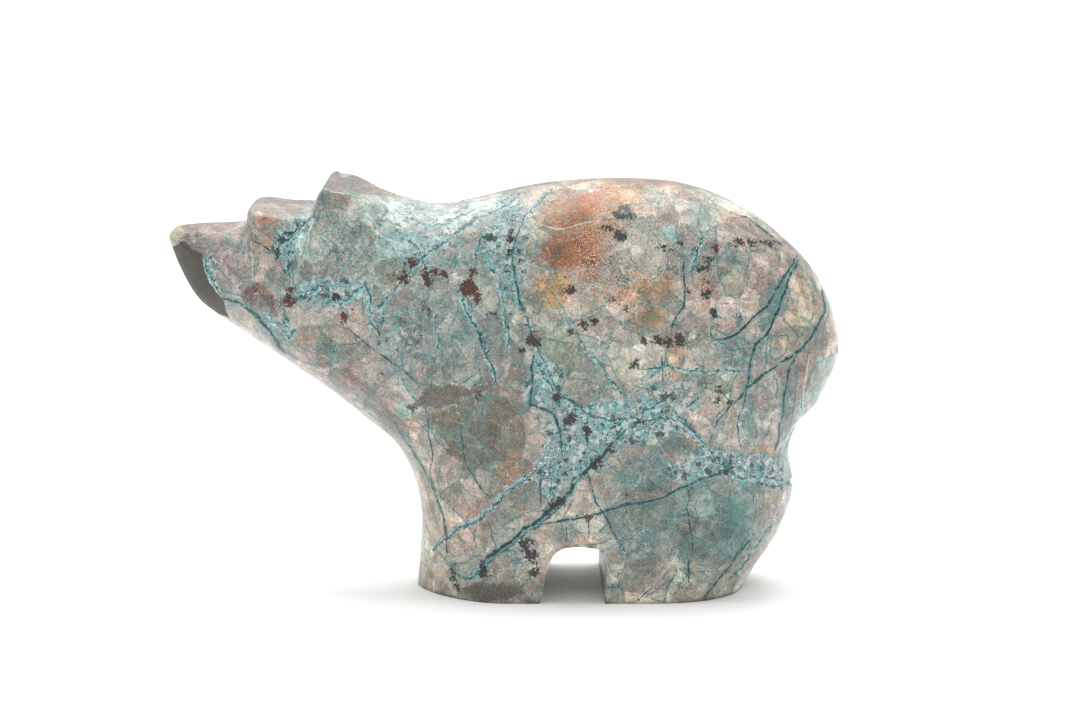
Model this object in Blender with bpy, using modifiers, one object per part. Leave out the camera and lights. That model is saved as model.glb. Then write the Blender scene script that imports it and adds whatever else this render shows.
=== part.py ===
"""Bear carved from one piece of turquoise-bearing stone and polished, 0.1 m long.

The work follows the way such a figure is cut: the side outline is sawn from a slab, the slab's
faces are brought to the plan widths, its edges are rounded over, and then the arch between the
legs, the groove between the ears and the flat soles are cut. Units are metres, +Z is up, the nose
points to -X and the origin is on the ground, under the middle of the figure.
"""
import bmesh
import bpy
import numpy as np

# Whole figure
LENGTH = 0.100
HEIGHT = 0.0618

# Widths across the figure, from the nose to the tail
NOSE_WIDTH = 0.0100
MUZZLE_WIDTH = 0.0165
FOREHEAD_WIDTH = 0.0205
EAR_SPREAD = 0.0242
NAPE_WIDTH = 0.0262
SHOULDER_WIDTH = 0.0290
BODY_WIDTH = 0.0325
LOIN_WIDTH = 0.0318
RUMP_WIDTH = 0.0290
TAIL_WIDTH = 0.0258
SOLE_WIDTH = 0.0256

# How deep in the side view the edge between the outline and the flank is rounded over
NOSE_EDGE = 0.0034
MUZZLE_EDGE = 0.0048
FOREHEAD_EDGE = 0.0016
EAR_EDGE = 0.0006
EAR_BACK_EDGE = 0.0040
NECK_EDGE = 0.0160
BACK_EDGE = 0.0260
RUMP_EDGE = 0.0220
HAUNCH_EDGE = 0.0140
HIND_LEG_EDGE = 0.0130
FRONT_LEG_EDGE = 0.0140
CHEST_EDGE = 0.0135
THROAT_EDGE = 0.0100
CHIN_EDGE = 0.0046

# Arch between the front and the hind legs, how much wider it is on the near side, and its middle
ARCH_HEIGHT = 0.0089
ARCH_WIDTH = 0.0092
ARCH_FLARE = 0.0012
ARCH_X = 0.099 * LENGTH

# Groove between the ears, its front end, and the length over which it runs out on the neck
EAR_GROOVE_DEPTH = 0.0037
EAR_GROOVE_LENGTH = 0.0150
EAR_GROOVE_X = -0.282 * LENGTH
NECK_LEVEL = 0.948 * HEIGHT

# Fineness of the mesh, and the stone left below the soles until they are ground flat
OUTLINE_STEPS = 8
CARVING_STEP = 0.0006
FACE_BUDGET = 11600
POINTS_AT_ONCE = 2000
GROUND_ALLOWANCE = 0.016

STONE_COLOUR = (0.33, 0.42, 0.38, 1.0)
STONE_ROUGHNESS = 0.32

CORNER = "corner"
BELOW_SOLES = -100 * GROUND_ALLOWANCE / HEIGHT

# Plan widths of the muzzle and of the body behind the ears. A place is in hundredths of the
# length, measured from the middle, and a level is in hundredths of the height, from the ground.
MUZZLE_PLAN = ((-50.0, NOSE_WIDTH), (-38.4, MUZZLE_WIDTH))
BODY_PLAN = (
    (-26.2, EAR_SPREAD), (-17.0, NAPE_WIDTH), (-5.0, SHOULDER_WIDTH), (15.0, BODY_WIDTH),
    (28.5, LOIN_WIDTH), (42.0, RUMP_WIDTH), (50.0, TAIL_WIDTH),
)
WIDEST_LEVELS = ((-50.0, 80.0), (-25.0, 74.0), (-5.0, 52.0))

# Side outline, clockwise from the nose. Each group has one edge, the fullness of its round, which
# is the power of a superellipse, and its landmarks by place and level.
SIDE_OUTLINE = (
    (NOSE_EDGE, 2.0, ((-50.0, 86.3), (-49.2, 87.9))),
    (MUZZLE_EDGE, 2.1, ((-45.4, 89.1), (-40.2, 89.4), (-38.0, 89.8, CORNER))),
    (FOREHEAD_EDGE, 3.4, ((-37.8, 92.8), (-36.8, 93.9), (-32.0, 93.7))),
    (EAR_EDGE, 3.2, ((-28.0, 93.4, CORNER), (-26.9, 98.2), (-26.0, 99.7), (-24.2, 99.8))),
    (EAR_BACK_EDGE, 2.1, ((-19.8, 98.3),)),
    (NECK_EDGE, 2.3, ((-15.0, 95.4), (-9.8, 93.9), (-5.0, 95.0))),
    (BACK_EDGE, 2.6, ((0.5, 97.2), (8.3, 99.3), (17.0, 100.0), (26.0, 98.9))),
    (RUMP_EDGE, 2.4, ((34.0, 94.5), (40.4, 87.5), (46.3, 77.7), (49.3, 66.6), (50.0, 59.0))),
    (HAUNCH_EDGE, 2.1, ((48.5, 50.8), (46.6, 44.9), (44.2, 41.3, CORNER), (42.9, 35.2), (43.5, 25.0))),
    (HIND_LEG_EDGE, 2.3, ((41.6, 15.0), (37.3, 3.7), (34.0, -6.0), (30.0, BELOW_SOLES, CORNER))),
    (FRONT_LEG_EDGE, 1.7, ((-15.0, BELOW_SOLES, CORNER), (-13.6, -6.0), (-13.1, 3.0))),
    (CHEST_EDGE, 1.8, ((-12.7, 19.6), (-13.5, 26.3), (-16.2, 34.9), (-20.0, 40.5))),
    (THROAT_EDGE, 2.1, ((-27.5, 50.5), (-37.0, 60.9), (-42.2, 66.6))),
    (CHIN_EDGE, 2.1, ((-45.5, 71.0), (-47.9, 77.2), (-49.5, 83.5))),
)


def outline_landmarks():
    """Landmarks as rows of x, z, edge depth and fullness, and which of them are corners."""
    rows = []
    corners = []
    for edge, fullness, marks in SIDE_OUTLINE:
        for mark in marks:
            rows.append((mark[0] / 100 * LENGTH, mark[1] / 100 * HEIGHT, edge, fullness))
            corners.append(CORNER in mark)
    return np.array(rows), corners


def smooth_outline():
    """The closed outline as a fine polyline: a Hermite curve through the landmarks."""
    marks, corners = outline_landmarks()
    count = len(marks)
    points = []
    for i in range(count):
        start, end = marks[i], marks[(i + 1) % count]
        chord = end - start
        reach = np.linalg.norm(chord[:2])
        leaving = chord if corners[i] else tangent(marks, i, reach)
        arriving = chord if corners[(i + 1) % count] else tangent(marks, (i + 1) % count, reach)
        for t in np.arange(OUTLINE_STEPS) / OUTLINE_STEPS:
            points.append(
                (1 + 2 * t) * (1 - t) ** 2 * start
                + t * (1 - t) ** 2 * leaving
                + t * t * (3 - 2 * t) * end
                + t * t * (t - 1) * arriving
            )
    return np.array(points)


def tangent(marks, i, reach):
    """Direction of the outline at a smooth landmark, as long as the stretch that it serves."""
    before = marks[i] - marks[i - 1]
    after = marks[(i + 1) % len(marks)] - marks[i]
    before_length = np.linalg.norm(before[:2])
    after_length = np.linalg.norm(after[:2])
    blend = before / before_length ** 2 + after / after_length ** 2
    return blend / (1 / before_length + 1 / after_length) * reach


def ramp(value, start, end):
    """0 before start, 1 after end, and smooth between them."""
    t = np.clip((value - start) / (end - start), 0.0, 1.0)
    return t * t * (3 - 2 * t)


def hollow(value, start, end):
    """0 before start, 1 after end, rising in a hollow that meets the end at a ridge."""
    return np.clip((value - start) / (end - start), 0.0, 1.0) ** 2


def half_width(x, z):
    """Half of the figure's width at the points x, z of the side view."""
    place = 100 * x / LENGTH
    level = 100 * z / HEIGHT
    width = stepped_width(place, level)

    # The flanks are crowned: above and below the widest level each section narrows by up to
    # these shares. In the body they also draw in to the soles.
    crown = 0.08
    body_level = 52.0
    off_middle = (level - smooth_stations(place, WIDEST_LEVELS)) / 50
    crowned = width * (1 - crown * off_middle ** 2)
    drop = np.clip((body_level - level) / body_level, 0.0, 1.0) ** 1.6
    return (crowned + (np.minimum(SOLE_WIDTH, width) - crowned) * drop) / 2


def stepped_width(place, level):
    """Plan width, with its steps at the brow and at the ears: sharp above and soft below."""
    brow = -36.9
    brow_hollow = 12.0 - 8.8 * ramp(level, 70, 86)
    ear_ridge = -26.3 - 0.16 * (100 - level)
    ear_hollow = 12.5 - 8.9 * ramp(level, 66, 90)
    muzzle = smooth_stations(place, MUZZLE_PLAN)
    body = smooth_stations(place, BODY_PLAN)
    head = muzzle + (FOREHEAD_WIDTH - muzzle) * hollow(place, brow - brow_hollow, brow)
    return head + (body - head) * hollow(place, ear_ridge - ear_hollow, ear_ridge)


def smooth_stations(value, stations):
    """Interpolates between stations, which are a place and the size there, with no kinks."""
    result = np.full_like(value, stations[0][1])
    for (place, size), (next_place, next_size) in zip(stations, stations[1:]):
        result = result + (next_size - size) * ramp(value, place, next_place)
    return result


def collection(name):
    """A collection of the given name, linked to the scene."""
    made = bpy.data.collections.new(name)
    bpy.context.scene.collection.children.link(made)
    return made


def mesh_of(thing):
    """The thing's evaluated shape as a mesh of its own, in world space, with its caps welded."""
    bpy.context.view_layer.update()
    evaluated = thing.evaluated_get(bpy.context.evaluated_depsgraph_get())
    mesh = bpy.data.meshes.new_from_object(evaluated)
    mesh.transform(thing.matrix_world)
    welded = bmesh.new()
    welded.from_mesh(mesh)
    bmesh.ops.remove_doubles(welded, verts=welded.verts, dist=1e-7)
    bmesh.ops.recalc_face_normals(welded, faces=welded.faces)
    welded.to_mesh(mesh)
    welded.free()
    return mesh


def sawn_slab(outline, thickness, group):
    """The outline cut from a flat slab, standing upright, with an even fine mesh."""
    curve = bpy.data.curves.new("slab_outline", "CURVE")
    curve.dimensions = "2D"
    curve.fill_mode = "BOTH"
    curve.extrude = thickness / 2
    spline = curve.splines.new("POLY")
    spline.points.add(len(outline) - 1)
    for point, row in zip(spline.points, outline):
        point.co = (row[0], row[1], 0.0, 1.0)
    spline.use_cyclic_u = True
    slab = bpy.data.objects.new("slab", curve)
    slab.rotation_euler.x = np.pi / 2
    group.objects.link(slab)
    solid = bpy.data.objects.new("slab_solid", mesh_of(slab))
    group.objects.link(solid)
    remesh = solid.modifiers.new("even_mesh", "REMESH")
    remesh.mode = "VOXEL"
    remesh.voxel_size = CARVING_STEP
    mesh = mesh_of(solid)
    for used in (slab, solid):
        bpy.data.objects.remove(used, do_unlink=True)
    return mesh


def nearest_on_outline(points, outline):
    """For each point: its depth inside the outline, the way inwards, and the edge there."""
    starts = outline[:, :2]
    runs = np.roll(starts, -1, axis=0) - starts
    lengths = np.linalg.norm(runs, axis=1)
    inwards = np.stack((runs[:, 1], -runs[:, 0]), axis=1) / lengths[:, None]
    offsets = points[:, None, :] - starts[None, :, :]
    along = np.clip((offsets * runs).sum(axis=2) / lengths ** 2, 0.0, 1.0)
    gaps = offsets - along[:, :, None] * runs
    distances = np.linalg.norm(gaps, axis=2)
    nearest = distances.argmin(axis=1)
    rows = np.arange(len(points))
    gap = gaps[rows, nearest]
    way = inwards[nearest]
    side = np.sign((gap * way).sum(axis=1))
    depth = distances[rows, nearest] * side
    # Close to the outline the gap has no direction of its own, so the outline's is blended in.
    direction = gap * side[:, None] + way * CARVING_STEP / 4
    direction /= np.linalg.norm(direction, axis=1)[:, None]
    pull = lengths / (distances + CARVING_STEP) ** 4
    pull /= pull.sum(axis=1)[:, None]
    return depth, direction, pull @ outline[:, 2], pull @ outline[:, 3]


def round_over(mesh, outline, thickness):
    """Carves the slab: its faces go to the plan widths and its edges to elliptical rounds."""
    places = np.empty(len(mesh.vertices) * 3, dtype=np.float32)
    mesh.vertices.foreach_get("co", places)
    places = places.reshape(-1, 3).astype(float)
    for first in range(0, len(places), POINTS_AT_ONCE):
        part = places[first:first + POINTS_AT_ONCE]
        flat = part[:, (0, 2)]
        depth, direction, rounding, power = nearest_on_outline(flat, outline)
        inner = np.clip((rounding - depth) / rounding, 0.0, None)
        outer = np.abs(part[:, 1]) / (thickness / 2)
        reach = (inner ** power + outer ** power) ** (1 / power)
        reach = np.maximum(reach, 1e-6)
        moved = flat + direction * (rounding * (inner - inner / reach))[:, None]
        part[:, 0] = moved[:, 0]
        part[:, 2] = moved[:, 1]
        part[:, 1] = np.sign(part[:, 1]) * half_width(part[:, 0], part[:, 2]) * outer / reach
    mesh.vertices.foreach_set("co", places.astype(np.float32).ravel())
    mesh.update()


def add_cutter(name, sections, group):
    """A closed solid between two sections that have the same number of corners."""
    shape = bmesh.new()
    rings = [[shape.verts.new(corner) for corner in section] for section in sections]
    count = len(rings[0])
    for i in range(count):
        shape.faces.new((rings[0][i], rings[0][(i + 1) % count],
                         rings[1][(i + 1) % count], rings[1][i]))
    shape.faces.new(rings[0][::-1])
    shape.faces.new(rings[1])
    bmesh.ops.recalc_face_normals(shape, faces=shape.faces)
    mesh = bpy.data.meshes.new(name)
    shape.to_mesh(mesh)
    shape.free()
    cutter = bpy.data.objects.new(name, mesh)
    cutter.display_type = "WIRE"
    cutter.hide_render = True
    group.objects.link(cutter)
    return cutter


def arch_section(y):
    """Outline of the arch at one side: round towards the front leg, square at the hind leg."""
    front = ARCH_X - ARCH_WIDTH / 2
    back = ARCH_X + ARCH_WIDTH / 2
    corners = [(front, -ARCH_HEIGHT), (front, 0.0)]

    # The front wall leans back up to the spring of a quarter round, which ends under the crown.
    lean = 0.12 * ARCH_WIDTH
    bend = 0.34 * ARCH_WIDTH
    spring = 0.50 * ARCH_HEIGHT
    rise = 0.48 * ARCH_HEIGHT
    quarter = np.linspace(0.0, np.pi / 2, 7)
    for turn in quarter:
        corners.append((front + lean + bend * (1 - np.cos(turn)), spring + rise * np.sin(turn)))
    corners.append((ARCH_X + lean, ARCH_HEIGHT))

    # The back wall bulges: each corner takes a share of the flare at a level in hundredths.
    flare = ARCH_FLARE * (0.5 - y / SOLE_WIDTH)
    back_wall = ((-0.4, 96.0), (0.8, 80.0), (1.0, 66.0), (0.4, 25.0), (0.2, -100.0))
    for share, level in back_wall:
        corners.append((back + share * flare, level / 100 * ARCH_HEIGHT))
    return [(x, y, z) for x, z in corners]


def groove_section(x, bottom, depth):
    """Triangle that opens upwards and past the ears: a section of the groove between them."""
    past_ears = 2.0
    side = past_ears * EAR_SPREAD / 2
    top = bottom + past_ears * depth
    return [(x, 0.0, bottom), (x, side, top), (x, -side, top)]


def ground_section(x):
    """Section of the block that is ground away below the soles."""
    return [(x, -BODY_WIDTH, 0.0), (x, BODY_WIDTH, 0.0),
            (x, BODY_WIDTH, -2 * GROUND_ALLOWANCE), (x, -BODY_WIDTH, -2 * GROUND_ALLOWANCE)]


def cutters(group):
    """What is cut after the rounding: the arch, the groove between the ears and the soles."""
    past_flank = 0.6 * BODY_WIDTH
    arch = add_cutter("arch", (arch_section(-past_flank), arch_section(past_flank)), group)
    run_out = 0.8 * EAR_GROOVE_DEPTH
    groove = add_cutter("ear_groove", (
        groove_section(EAR_GROOVE_X, HEIGHT - EAR_GROOVE_DEPTH, EAR_GROOVE_DEPTH),
        groove_section(EAR_GROOVE_X + EAR_GROOVE_LENGTH, NECK_LEVEL, run_out)), group)
    ground = add_cutter("ground", (ground_section(-LENGTH), ground_section(LENGTH)), group)
    return arch, groove, ground


def stone():
    """Polished stone, with one plain colour for the mixed ground."""
    material = bpy.data.materials.new("turquoise_stone")
    material.use_nodes = True
    shader = material.node_tree.nodes["Principled BSDF"]
    shader.inputs["Base Color"].default_value = STONE_COLOUR
    shader.inputs["Roughness"].default_value = STONE_ROUGHNESS
    shader.inputs["Metallic"].default_value = 0.0
    return material


def carve_bear():
    """Builds the figure and its cutters."""
    figure = collection("turquoise_bear_carving")
    tools = collection("cutters")
    outline = smooth_outline()
    mesh = sawn_slab(outline, BODY_WIDTH, tools)
    round_over(mesh, outline, BODY_WIDTH)
    mesh.name = "bear_carving"
    bear = bpy.data.objects.new("bear_carving", mesh)
    figure.objects.link(bear)
    mesh.materials.clear()
    mesh.materials.append(stone())

    # The carved surface is relaxed and thinned out before the cuts, which stay crisp.
    relax = bear.modifiers.new("relax", "SMOOTH")
    relax.factor = 0.5
    relax.iterations = 3
    thin = bear.modifiers.new("thin_out", "DECIMATE")
    thin.ratio = FACE_BUDGET / (2 * len(mesh.polygons))
    thin.use_collapse_triangulate = True
    for cutter in cutters(tools):
        cut = bear.modifiers.new(cutter.name, "BOOLEAN")
        cut.operation = "DIFFERENCE"
        cut.solver = "EXACT"
        cut.object = cutter
    mesh.shade_smooth()
    mesh.set_sharp_from_angle(angle=np.radians(40))


for old in list(bpy.data.objects):
    bpy.data.objects.remove(old, do_unlink=True)
carve_bear()
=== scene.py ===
import math

import bmesh
import bpy
import numpy as np
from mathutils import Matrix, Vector, noise


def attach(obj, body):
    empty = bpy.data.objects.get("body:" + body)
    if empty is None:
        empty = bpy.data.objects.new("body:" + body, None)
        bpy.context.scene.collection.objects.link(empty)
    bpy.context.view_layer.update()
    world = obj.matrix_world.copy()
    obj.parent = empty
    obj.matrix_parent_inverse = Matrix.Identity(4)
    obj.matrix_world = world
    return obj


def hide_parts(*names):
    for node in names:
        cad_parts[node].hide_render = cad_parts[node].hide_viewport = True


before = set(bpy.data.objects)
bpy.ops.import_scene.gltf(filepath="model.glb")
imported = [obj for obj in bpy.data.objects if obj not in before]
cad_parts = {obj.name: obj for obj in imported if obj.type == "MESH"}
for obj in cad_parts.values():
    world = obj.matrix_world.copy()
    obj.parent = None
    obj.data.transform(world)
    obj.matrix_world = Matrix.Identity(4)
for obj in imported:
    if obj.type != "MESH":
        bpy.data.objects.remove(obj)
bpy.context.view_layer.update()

# Camera: the photograph's, level across and looking slightly down. Lengths are in metres, the
# sensor's width in millimetres.
PHOTO_WIDTH = 1080
PHOTO_HEIGHT = 720
CAMERA_DISTANCE = 0.450
CAMERA_PITCH = math.radians(10)
CAMERA_AIM = Vector((0.00535, 0.0, 0.0344))
FOCAL_PIXELS = 2994.75
SENSOR_WIDTH = 36.0
NEAREST_SEEN = 0.01
FARTHEST_SEEN = 50.0

# Studio: surroundings, a key light above and a wide light that keeps the floor behind white.
# A light is its width, its place and its radiance.
WORLD_STRENGTH = 0.86
KEY_LIGHT = (1.0, (0.0, 0.25, 1.3), 5.0)
BACK_LIGHT = (3.0, (0.0, 2.4, 2.0), 1.0)
WHITE = (1.0, 1.0, 1.0, 1.0)
FLOOR_SIZE = 8.0
FLOOR_WHITE = 0.97
FLOOR_GLOW = 0.03
FLOOR_ROUGHNESS = 0.9

# Mesh of the stone, in metres: how near points are to count as one, which edges are too short to
# keep, and how long an edge may stay on the side that the photograph shows and on the other
WELD = 0.000001
SLIVER = 0.00003
FINE_EDGE = 0.00056
FAR_EDGE = 0.00110
SPLIT_ROUNDS = 4
# A round of smoothing draws the points together, then spreads them a little more, so the stone
# doesn't shrink
SMOOTHING_ROUNDS = 6
SMOOTHING_FACTORS = (0.50, -0.53)
# How far the faces turn at an edge that the smoothing keeps, and at one that is shaded as sharp
EDGE_ANGLE = math.radians(32)
SHADING_ANGLE = math.radians(50)

# The stone's red, green and blue light as shares of the pictured ones, since the studio is
# brighter and a little greener than the photographer's
STONE_SHARE = (0.91, 0.89, 0.915)

# Casts that tint some rock pieces, as shares of their light
TEAL_CAST = (0.85, 1.0, 0.98, 1.0)
PINK_CAST = (1.0, 0.90, 0.84, 1.0)
# Colours of the stone as they are read in the photograph, 0 to 255
COLOURS = {
    "taupe": (161, 151, 143),
    "warm_taupe": (146, 136, 124),
    "brown_grey": (122, 112, 99),
    "olive_grey": (142, 141, 122),
    "grey": (142, 142, 135),
    "pale_grey": (172, 171, 162),
    "pink_beige": (184, 167, 153),
    "beige": (188, 178, 157),
    "cream": (222, 212, 190),
    "peach": (216, 180, 152),
    "white": (232, 233, 224),
    "mauve": (150, 139, 135),
    "pink_grey": (146, 126, 120),
    "pink_cream": (214, 198, 183),
    "maroon": (98, 70, 70),
    "teal_grey": (128, 145, 140),
    "deep_teal_grey": (96, 120, 116),
    "sea": (84, 134, 130),
    "pale_turquoise": (150, 186, 182),
    "turquoise": (90, 168, 170),
    "teal": (42, 98, 100),
    "dark_teal": (20, 56, 60),
    "orange": (166, 94, 38),
    "rust": (130, 72, 38),
    "umber": (108, 80, 60),
    "ochre": (182, 134, 84),
    "red_brown": (74, 38, 29),
    "brown_black": (38, 30, 30),
    "dark_green": (18, 54, 50),
    "olive": (86, 85, 68),
    "tan": (184, 172, 144),
    "dull_light": (112, 108, 97),
    "dull_dark": (42, 41, 33),
    "chin_grey": (73, 70, 63),
}
BASE_COLOUR = "taupe"
FAR_EAR_COLOUR = "pink_grey"

# Broad areas of ground colour on the near flank, in the order of painting: the colour, the centre
# in the photograph's pixels, the half width and half height, and how much of the colour it gives
BROAD_AREAS = (
    ("teal_grey", (430, 290), (100, 100), 0.35), ("pale_turquoise", (380, 245), (60, 36), 0.4),
    # The pale grey at (450, 213) and the whites at (405, 212) and (480, 200) on the top of the neck
    # are pale stone with painted sheen from the light above
    ("grey", (400, 330), (60, 60), 0.5), ("pale_grey", (450, 213), (100, 20), 0.9),
    ("white", (405, 212), (54, 14), 0.95), ("white", (480, 200), (44, 12), 0.75),
    ("cream", (575, 184), (30, 9), 0.7), ("orange", (628, 184), (40, 7), 0.6),
    ("mauve", (240, 270), (60, 60), 0.75), ("pink_beige", (310, 350), (60, 40), 0.5),
    # The pink cream at (424, 520), like the cream there further down, is the chest's pale stone
    # with painted light from the floor and the front
    ("pink_beige", (490, 550), (80, 60), 0.85), ("pink_cream", (424, 520), (26, 80), 0.85),
    ("pink_beige", (640, 330), (80, 80), 0.5), ("teal_grey", (690, 510), (100, 60), 0.6),
    # The pale grey at (690, 570) is pale stone on the hind leg with painted light from the white
    # floor
    ("pale_grey", (690, 570), (110, 44), 0.85), ("pink_cream", (745, 340), (74, 26), 0.6),
    ("pink_beige", (655, 208), (34, 20), 0.8), ("pink_cream", (715, 378), (38, 16), 0.6),
    ("pink_cream", (655, 582), (24, 22), 0.8), ("pink_cream", (455, 540), (20, 24), 0.6),
    ("teal_grey", (786, 412), (12, 44), 0.7), ("pink_cream", (750, 224), (56, 22), 0.7),
    ("cream", (668, 582), (56, 26), 0.45), ("cream", (424, 520), (20, 70), 0.6),
    ("cream", (704, 586), (40, 20), 0.3), ("pink_grey", (215, 228), (44, 10), 0.9),
    ("pink_grey", (285, 204), (36, 10), 0.9), ("pink_grey", (352, 182), (36, 10), 0.9),
    # The whites at (690, 575) and (460, 556) are painted light from the white floor on the lower
    # legs
    ("pink_beige", (780, 330), (60, 110), 0.5), ("white", (690, 575), (100, 36), 0.22),
    ("white", (460, 556), (66, 46), 0.14),
)

# Rock pieces with crisp outlines in the same pixels: the colour, how much of it, and the corners
ROCK_PIECES = (
    ("mauve", 0.7, ((202, 255), (236, 246), (250, 251), (252, 282), (245, 296), (228, 294),
        (215, 282))),
    ("taupe", 0.8, ((253, 251), (279, 255), (284, 277), (281, 308), (274, 316), (257, 303),
        (253, 282))),
    ("maroon", 1.0, ((241, 294), (250, 283), (262, 284), (273, 296), (279, 316), (262, 314),
        (246, 304))),
    ("ochre", 0.4, ((253, 210), (277, 215), (281, 230), (271, 248), (253, 241))),
    ("grey", 0.9, ((326, 190), (350, 194), (346, 214), (356, 240), (372, 262), (354, 290),
        (330, 286), (306, 280), (304, 262), (309, 240), (318, 216))),
    ("pale_turquoise", 0.8, ((292, 238), (312, 218), (317, 214), (309, 240), (304, 264), (300, 290),
        (294, 284))),
    ("pink_beige", 0.6, ((433, 248), (446, 243), (456, 250), (454, 262), (438, 264))),
    ("taupe", 0.9, ((429, 282), (446, 279), (456, 288), (458, 312), (448, 332), (432, 326),
        (425, 304))),
    ("brown_grey", 0.5, ((441, 346), (456, 341), (470, 350), (474, 372), (462, 382), (444, 378))),
    ("taupe", 0.9, ((402, 348), (422, 338), (437, 348), (438, 372), (420, 384), (404, 370))),
    ("warm_taupe", 0.8, ((521, 287), (538, 284), (543, 300), (536, 314), (524, 308))),
    ("deep_teal_grey", 1.0, ((798, 260), (785, 277), (770, 306), (756, 318), (760, 330), (773, 321),
        (786, 293), (796, 268))),
    ("pale_grey", 0.8, ((288, 306), (298, 298), (319, 296), (336, 303), (341, 313), (326, 325),
        (300, 325), (288, 337), (284, 320))),
    ("brown_grey", 0.7, ((289, 339), (300, 325), (336, 325), (353, 332), (360, 346), (345, 358),
        (322, 370), (301, 363), (288, 351))),
    ("pink_beige", 0.6, ((345, 303), (362, 296), (365, 318), (350, 320))),
    ("brown_grey", 1.0, ((428, 407), (455, 404), (478, 398), (505, 398), (518, 408), (526, 422),
        (526, 440), (520, 458), (508, 470), (492, 472), (478, 468), (462, 462), (446, 452),
        (436, 440), (430, 424))),
    ("deep_teal_grey", 0.25, ((455, 425), (475, 430), (490, 455), (480, 468), (462, 460),
        (452, 440))),
    ("pink_beige", 0.8, ((507, 318), (515, 318), (524, 329), (522, 343), (515, 346), (509, 335))),
    ("pink_beige", 0.7, ((504, 362), (515, 361), (526, 383), (528, 394), (515, 390), (503, 373))),
    ("brown_grey", 0.7, ((522, 295), (538, 295), (538, 304), (524, 306))),
    ("orange", 0.9, ((549, 205), (591, 191), (614, 209), (603, 234), (591, 266), (564, 268),
        (542, 256), (540, 237), (553, 228))),
    ("rust", 0.8, ((540, 237), (570, 232), (586, 240), (578, 262), (562, 267), (544, 256))),
    ("umber", 0.8, ((547, 264), (552, 250), (560, 243), (565, 262), (556, 268))),
    ("ochre", 0.7, ((562, 204), (580, 203), (584, 214), (574, 222), (562, 218))),
    ("rust", 0.6, ((580, 247), (597, 247), (593, 266), (584, 266))),
    ("olive_grey", 0.9, ((540, 339), (574, 344), (572, 362), (559, 387), (545, 375))),
    ("warm_taupe", 0.9, ((572, 362), (578, 348), (603, 377), (607, 390), (584, 413), (561, 392))),
    ("pink_beige", 0.8, ((577, 480), (598, 470), (608, 509), (563, 521))),
    ("pink_beige", 0.8, ((560, 518), (588, 513), (608, 518), (615, 534), (600, 546), (565, 546))),
    ("warm_taupe", 0.9, ((625, 435), (656, 430), (676, 435), (698, 438), (711, 450), (714, 466),
        (703, 478), (683, 486), (663, 498), (635, 504), (606, 509), (595, 496), (598, 473),
        (608, 455))),
    ("deep_teal_grey", 0.9, ((648, 440), (676, 437), (694, 444), (690, 456), (668, 452),
        (652, 452))),
    ("deep_teal_grey", 0.9, ((626, 457), (655, 455), (680, 470), (672, 488), (640, 492),
        (615, 480))),
    ("teal_grey", 0.7, ((606, 513), (660, 501), (701, 479), (731, 479), (754, 496), (756, 529),
        (742, 546), (717, 570), (690, 560), (676, 546), (643, 534), (611, 534))),
    ("pale_grey", 0.6, ((620, 540), (643, 536), (674, 548), (668, 580), (640, 600), (618, 580))),
    ("olive_grey", 0.8, ((722, 266), (735, 261), (748, 268), (750, 282), (741, 293), (728, 295),
        (720, 284))),
    ("pink_beige", 0.8, ((751, 250), (782, 250), (774, 284), (751, 298), (748, 270))),
    ("taupe", 0.8, ((717, 304), (736, 303), (739, 324), (726, 337), (712, 331))),
    ("beige", 0.8, ((788, 269), (802, 266), (814, 287), (813, 317), (800, 338), (782, 321),
        (783, 301))),
    ("pink_beige", 0.8, ((770, 334), (788, 334), (788, 352), (776, 358), (770, 355))),
    ("pale_grey", 0.4, ((748, 383), (770, 372), (776, 380), (772, 420), (766, 436), (756, 420))),
    ("teal_grey", 0.7, ((726, 338), (745, 337), (751, 352), (739, 369), (723, 361))),
    ("pink_beige", 0.7, ((705, 355), (717, 354), (726, 368), (714, 386), (706, 383))),
    ("taupe", 0.9, ((679, 378), (702, 369), (705, 389), (691, 405), (679, 398))),
    ("beige", 0.7, ((666, 352), (686, 349), (679, 375), (671, 377))),
    ("teal_grey", 0.7, ((816, 360), (839, 348), (828, 386), (811, 408), (810, 378))),
)

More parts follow.
